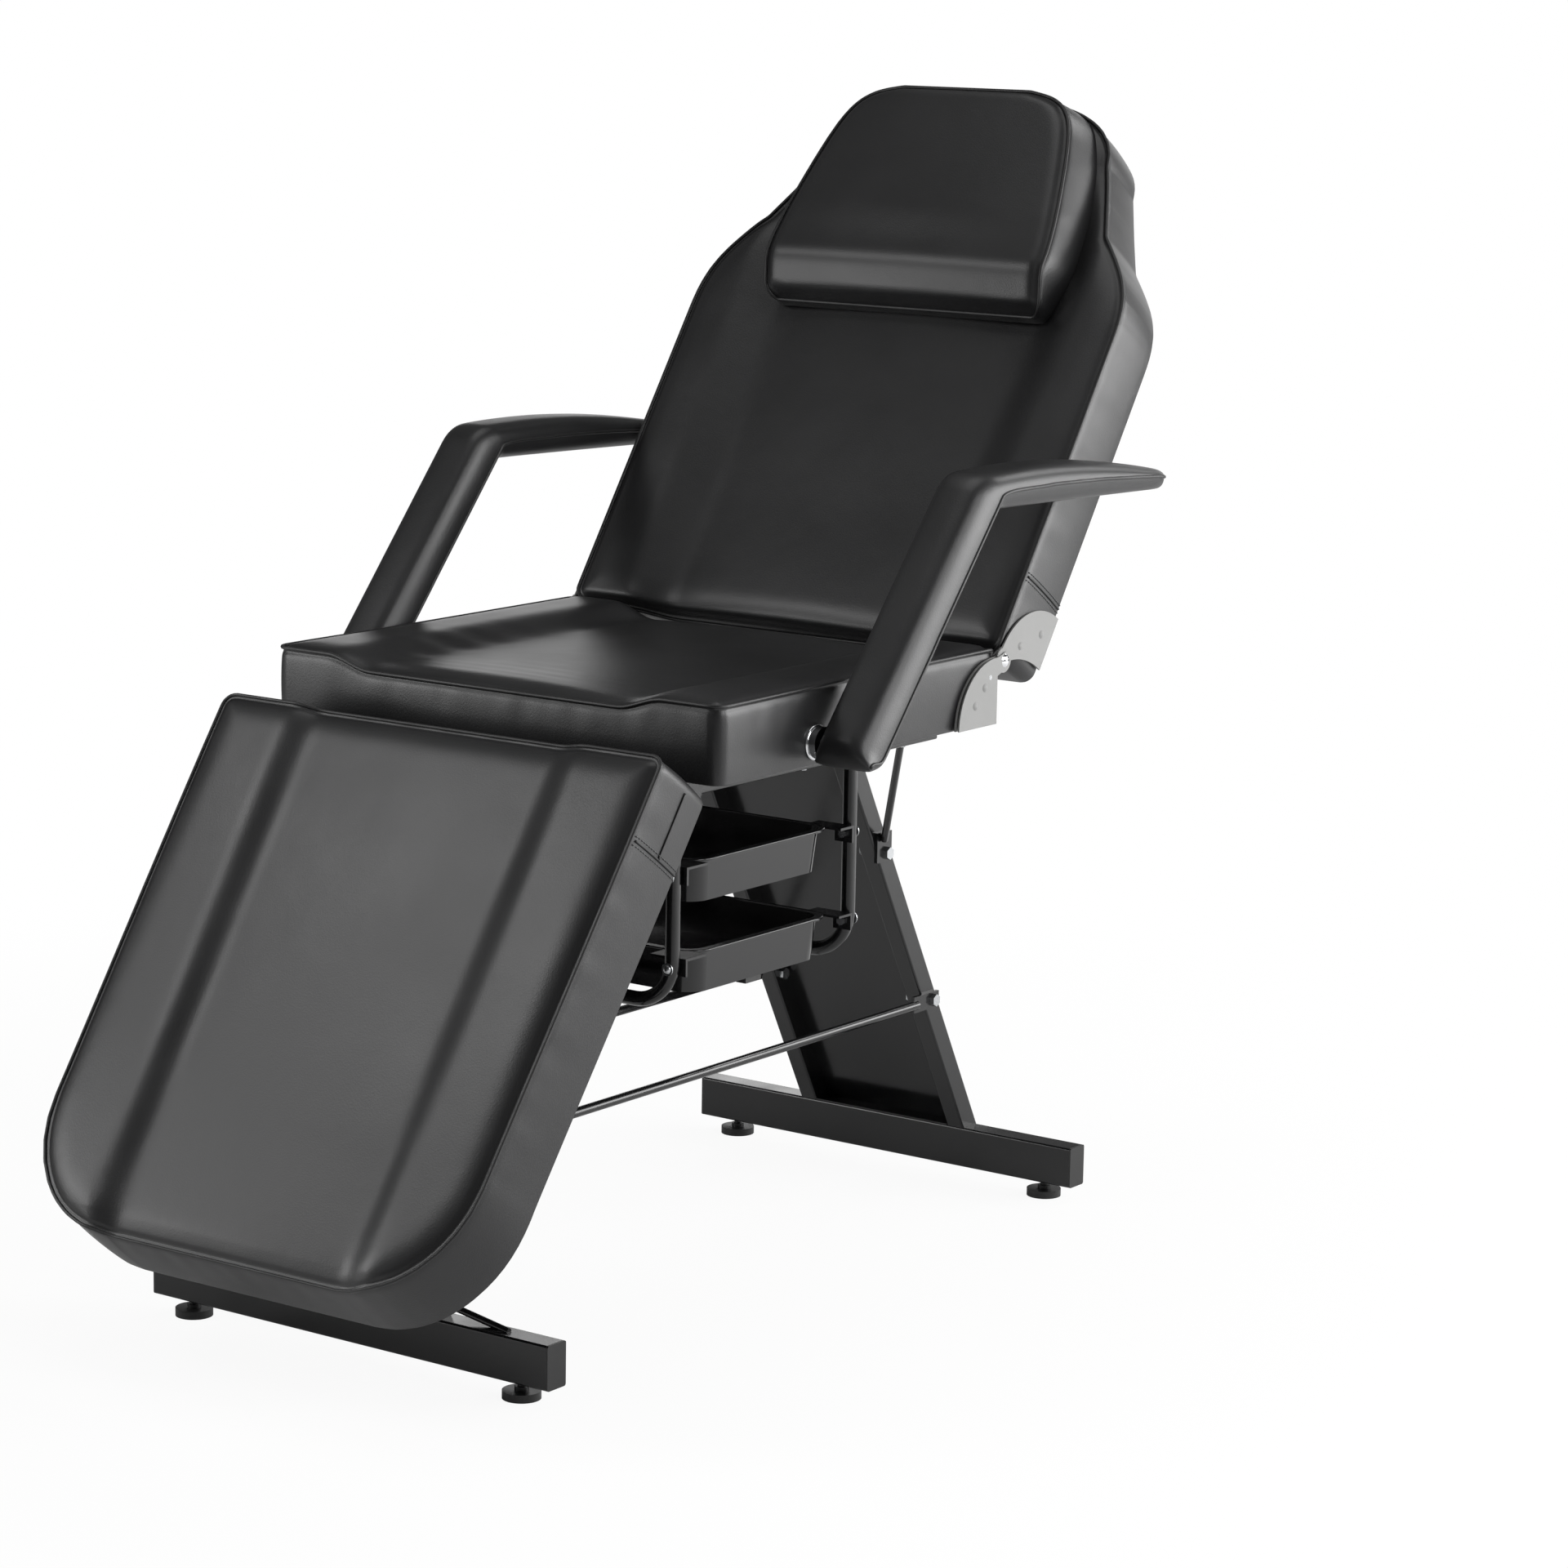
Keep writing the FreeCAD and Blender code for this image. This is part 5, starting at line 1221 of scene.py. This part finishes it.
@dataclass
class Hardware:
    """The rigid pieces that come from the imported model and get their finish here."""

    lip_levels: Pair = (475.4, 383.4)
    lip_half: float = 200.0
    lip_ends: Pair = (-180.0, 60.0)
    lip_corner: float = 30.0
    disc: Triple = (282.0, -93.0, 594.0)
    disc_radius: float = 16.2
    disc_bead: float = 2.2
    lip_bead: float = 1.1
    lip_step: float = 6.0

    def disc_trims(self) -> None:
        """Round rim of the chrome disc behind each arm."""
        x, y, z = self.disc
        turns = np.linspace(0, 2 * math.pi, 49)[:-1]
        ring = np.stack([np.full_like(turns, x), y + self.disc_radius * np.cos(turns),
                         z + self.disc_radius * np.sin(turns)], 1)
        for side, name in ((1, "right"), (-1, "left")):
            rim = tube("arm_disc_rim_" + name, ring * (side, 1, 1) * MM, self.disc_bead * MM,
                       Finish.CHROME, True)
            settle("chair_base", "chrome_steel", rim)

    def tray_lips(self) -> None:
        """Thin moulded bead round the lip of each tray."""
        x, (front, rear), r = self.lip_half, self.lip_ends, self.lip_corner
        centres = ((x - r, rear - r), (r - x, rear - r), (r - x, front + r), (x - r, front + r))
        spots = [(cx + r * math.cos(turn), cy + r * math.sin(turn))
                 for quarter, (cx, cy) in enumerate(centres)
                 for turn in np.linspace(quarter / 2, quarter / 2 + 0.5, 9) * math.pi]
        for name, level in zip(("upper", "lower"), self.lip_levels):
            ring = resample(np.array([(*spot, level) for spot in spots]), self.lip_step, True)
            bead = tube(name + "_tray_lip_bead", ring * MM, self.lip_bead * MM, Finish.TRAY, True)
            settle("chair_base", "tray_plastic", bead)

    def dress(self) -> None:
        """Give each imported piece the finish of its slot."""
        slots = {entry["node"]: entry["material_slot"] for entry in frame["record"]["subparts"]}
        for node, piece in frame["nodes"].items():
            finish = SLOT_FINISH[slots[node]]
            piece.data.materials.clear()
            piece.data.materials.append(Shop.material(finish))
        LOG.info("%d packed pieces dressed", len(frame["nodes"]))


# Softboxes: name, place, what it points at, width and height in metres, power in watts
SOFTBOXES = (
    ("key", (-1.5, -1.75, 2.25), (0, -0.5, 0.4), (1.05, 0.62), 16.5),
    ("front_low", (-2.3, -2.9, 0.45), (0, 0.3, 1.0), (1.2, 0.9), 6),
    ("front_near", (-1.45, -1.5, 0.88), (0, 0.55, 1.3), (0.8, 0.62), 11),
    ("rear_right", (2.6, 3.0, 1.25), (0.1, 0.1, 0.8), (2.0, 1.7), 80),
    ("strip", (3.5, 2.2, 1.25), (0.3, 0, 0.8), (0.5, 1.6), 40),
    ("side", (3.45, 1.3, 1.75), (0.2, 0.5, 1.1), (0.9, 1.5), 45),
    ("rear_high", (0.9, 2.7, 2.5), (0.2, 0.2, 0.8), (1.2, 0.6), 14),
    ("rear_left", (-2.6, 3.2, 1.25), (0, 0, 0.65), (1.4, 1.1), 8),
    ("rear", (-0.5, 3.7, 1.15), (0, 0.3, 0.9), (1.8, 1.8), 12),
    ("right", (3.4, -0.4, 1.9), (0.2, 0, 0.7), (1.2, 2.0), 55),
    ("top", (0.0, 0.2, 3.6), (0, 0.1, 0.6), (2.4, 2.4), 26),
)


@dataclass
class Studio:
    """Camera, lamps, floor and world."""

    eye: Triple = (2.8440, -3.7128, 1.3759)
    yaw: float = 35.69
    pitch: float = -10.53
    roll: float = 0.97
    focal_px: float = 5594.52
    frame_px: float = 1920.0
    sensor_mm: float = 36.0
    world_light: float = 0.14
    floor_share: float = 0.92
    floor_half: float = 14.0
    fade: Pair = (0.7, 2.0)  # distances at which the floor's shadow begins and ends to fade

    def camera(self) -> None:
        """Place the camera of the photo."""
        yaw, pitch, roll = (math.radians(v) for v in (self.yaw, self.pitch, self.roll))
        level = math.cos(pitch)
        ahead = Vector((-math.sin(yaw) * level, math.cos(yaw) * level, math.sin(pitch)))
        right = Vector((math.cos(yaw), math.sin(yaw), 0))
        above = right.cross(ahead)
        side = math.cos(roll) * right + math.sin(roll) * above
        upward = -math.sin(roll) * right + math.cos(roll) * above
        data = bpy.data.cameras.new("camera")
        data.sensor_width = self.sensor_mm
        data.sensor_fit = "HORIZONTAL"
        data.lens = self.sensor_mm * self.focal_px / self.frame_px
        data.clip_end = 60
        camera = bpy.data.objects.new("camera", data)
        turn = Matrix((side, upward, -ahead)).transposed().to_4x4()
        camera.matrix_world = Matrix.Translation(self.eye) @ turn
        bpy.context.scene.collection.objects.link(camera)
        bpy.context.scene.camera = camera

    def lamp(self, name: str, place: Triple, aim: Triple,
             size: Pair, power: float) -> None:
        """Add one soft rectangular lamp.

        Args:
            name: Its name.
            place: Where it stands.
            aim: What it points at.
            size: Its width and height in metres.
            power: Its power in watts.
        """
        data = bpy.data.lights.new(name, "AREA")
        data.shape = "RECTANGLE"
        data.size, data.size_y = size
        data.energy = power
        lamp = bpy.data.objects.new(name, data)
        lamp.visible_camera = False
        turn = (Vector(aim) - Vector(place)).to_track_quat("-Z", "Y").to_matrix().to_4x4()
        lamp.matrix_world = Matrix.Translation(place) @ turn
        bpy.context.scene.collection.objects.link(lamp)

    def floor(self) -> None:
        """Lay a white floor that keeps a soft shadow near the chair and is pure white far off."""
        shell = bmesh.new()
        bmesh.ops.create_grid(shell, x_segments=1, y_segments=1, size=self.floor_half)
        mesh = bpy.data.meshes.new("studio_floor")
        shell.to_mesh(mesh)
        shell.free()
        mesh.transform(Matrix.Translation((0, 0, -0.0005)))
        sheet = bpy.data.objects.new("studio_floor", mesh)
        bpy.context.scene.collection.objects.link(sheet)
        material, tree, shader = new_material("white_paper_sweep")
        feed(tree, shader, {
            "Base Color": linear("F2F2F2"), "Roughness": 0.9, "Specular IOR Level": 0.1})
        place = add_node(tree, "ShaderNodeTexCoord").outputs["Object"]
        reach = add_node(tree, "ShaderNodeVectorMath", {0: place}, operation="LENGTH")
        far = add_node(tree, "ShaderNodeMapRange", {
            "Value": reach.outputs["Value"], "From Min": self.fade[0], "From Max": self.fade[1],
            "To Min": self.floor_share, "To Max": 1.0}, interpolation_type="SMOOTHSTEP")
        ray = add_node(tree, "ShaderNodeLightPath").outputs["Is Camera Ray"]
        part = add_node(tree, "ShaderNodeMath", {
            0: ray, 1: far.outputs["Result"]}, operation="MULTIPLY")
        white = add_node(tree, "ShaderNodeEmission", {"Color": (1, 1, 1, 1), "Strength": 1.0})
        mix = add_node(tree, "ShaderNodeMixShader", {
            0: part.outputs[0], 1: shader.outputs[0], 2: white.outputs[0]})
        out = next(n for n in tree.nodes if n.type == "OUTPUT_MATERIAL")
        feed(tree, out, {"Surface": mix.outputs[0]})
        mesh.materials.append(material)

    def world(self) -> None:
        """Set a world that is white to the camera and dim as a light."""
        white = bpy.data.worlds.new("white_studio")
        bpy.context.scene.world = white
        white.use_nodes = True
        tree = white.node_tree
        tree.nodes.clear()
        ray = add_node(tree, "ShaderNodeLightPath").outputs["Is Camera Ray"]
        lit, seen = (add_node(tree, "ShaderNodeBackground", {
            "Color": (1, 1, 1, 1), "Strength": strength}) for strength in (self.world_light, 1.0))
        mix = add_node(tree, "ShaderNodeMixShader", {
            0: ray, 1: lit.outputs[0], 2: seen.outputs[0]})
        add_node(tree, "ShaderNodeOutputWorld", {"Surface": mix.outputs[0]})

    def build(self) -> None:
        """Set up the studio."""
        self.camera()
        self.floor()
        self.world()
        for name, place, aim, size, power in SOFTBOXES:
            self.lamp(name + "_softbox", place, aim, size, power)
        bpy.context.scene.view_settings.view_transform = "Standard"
        LOG.info("studio set")


def main() -> None:
    """Build the chair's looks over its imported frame, piece by piece."""
    logging.basicConfig(level=logging.INFO, format="%(name)s: %(message)s")
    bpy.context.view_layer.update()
    Studio().build()
    hardware = Hardware()
    hardware.dress()
    hardware.tray_lips()
    hardware.disc_trims()
    for part in (Seat(), Backrest(), LegRest(), HeadPillow(), PaddedArm(1), PaddedArm(-1)):
        part.build()


if __name__ == "__main__":
    main()
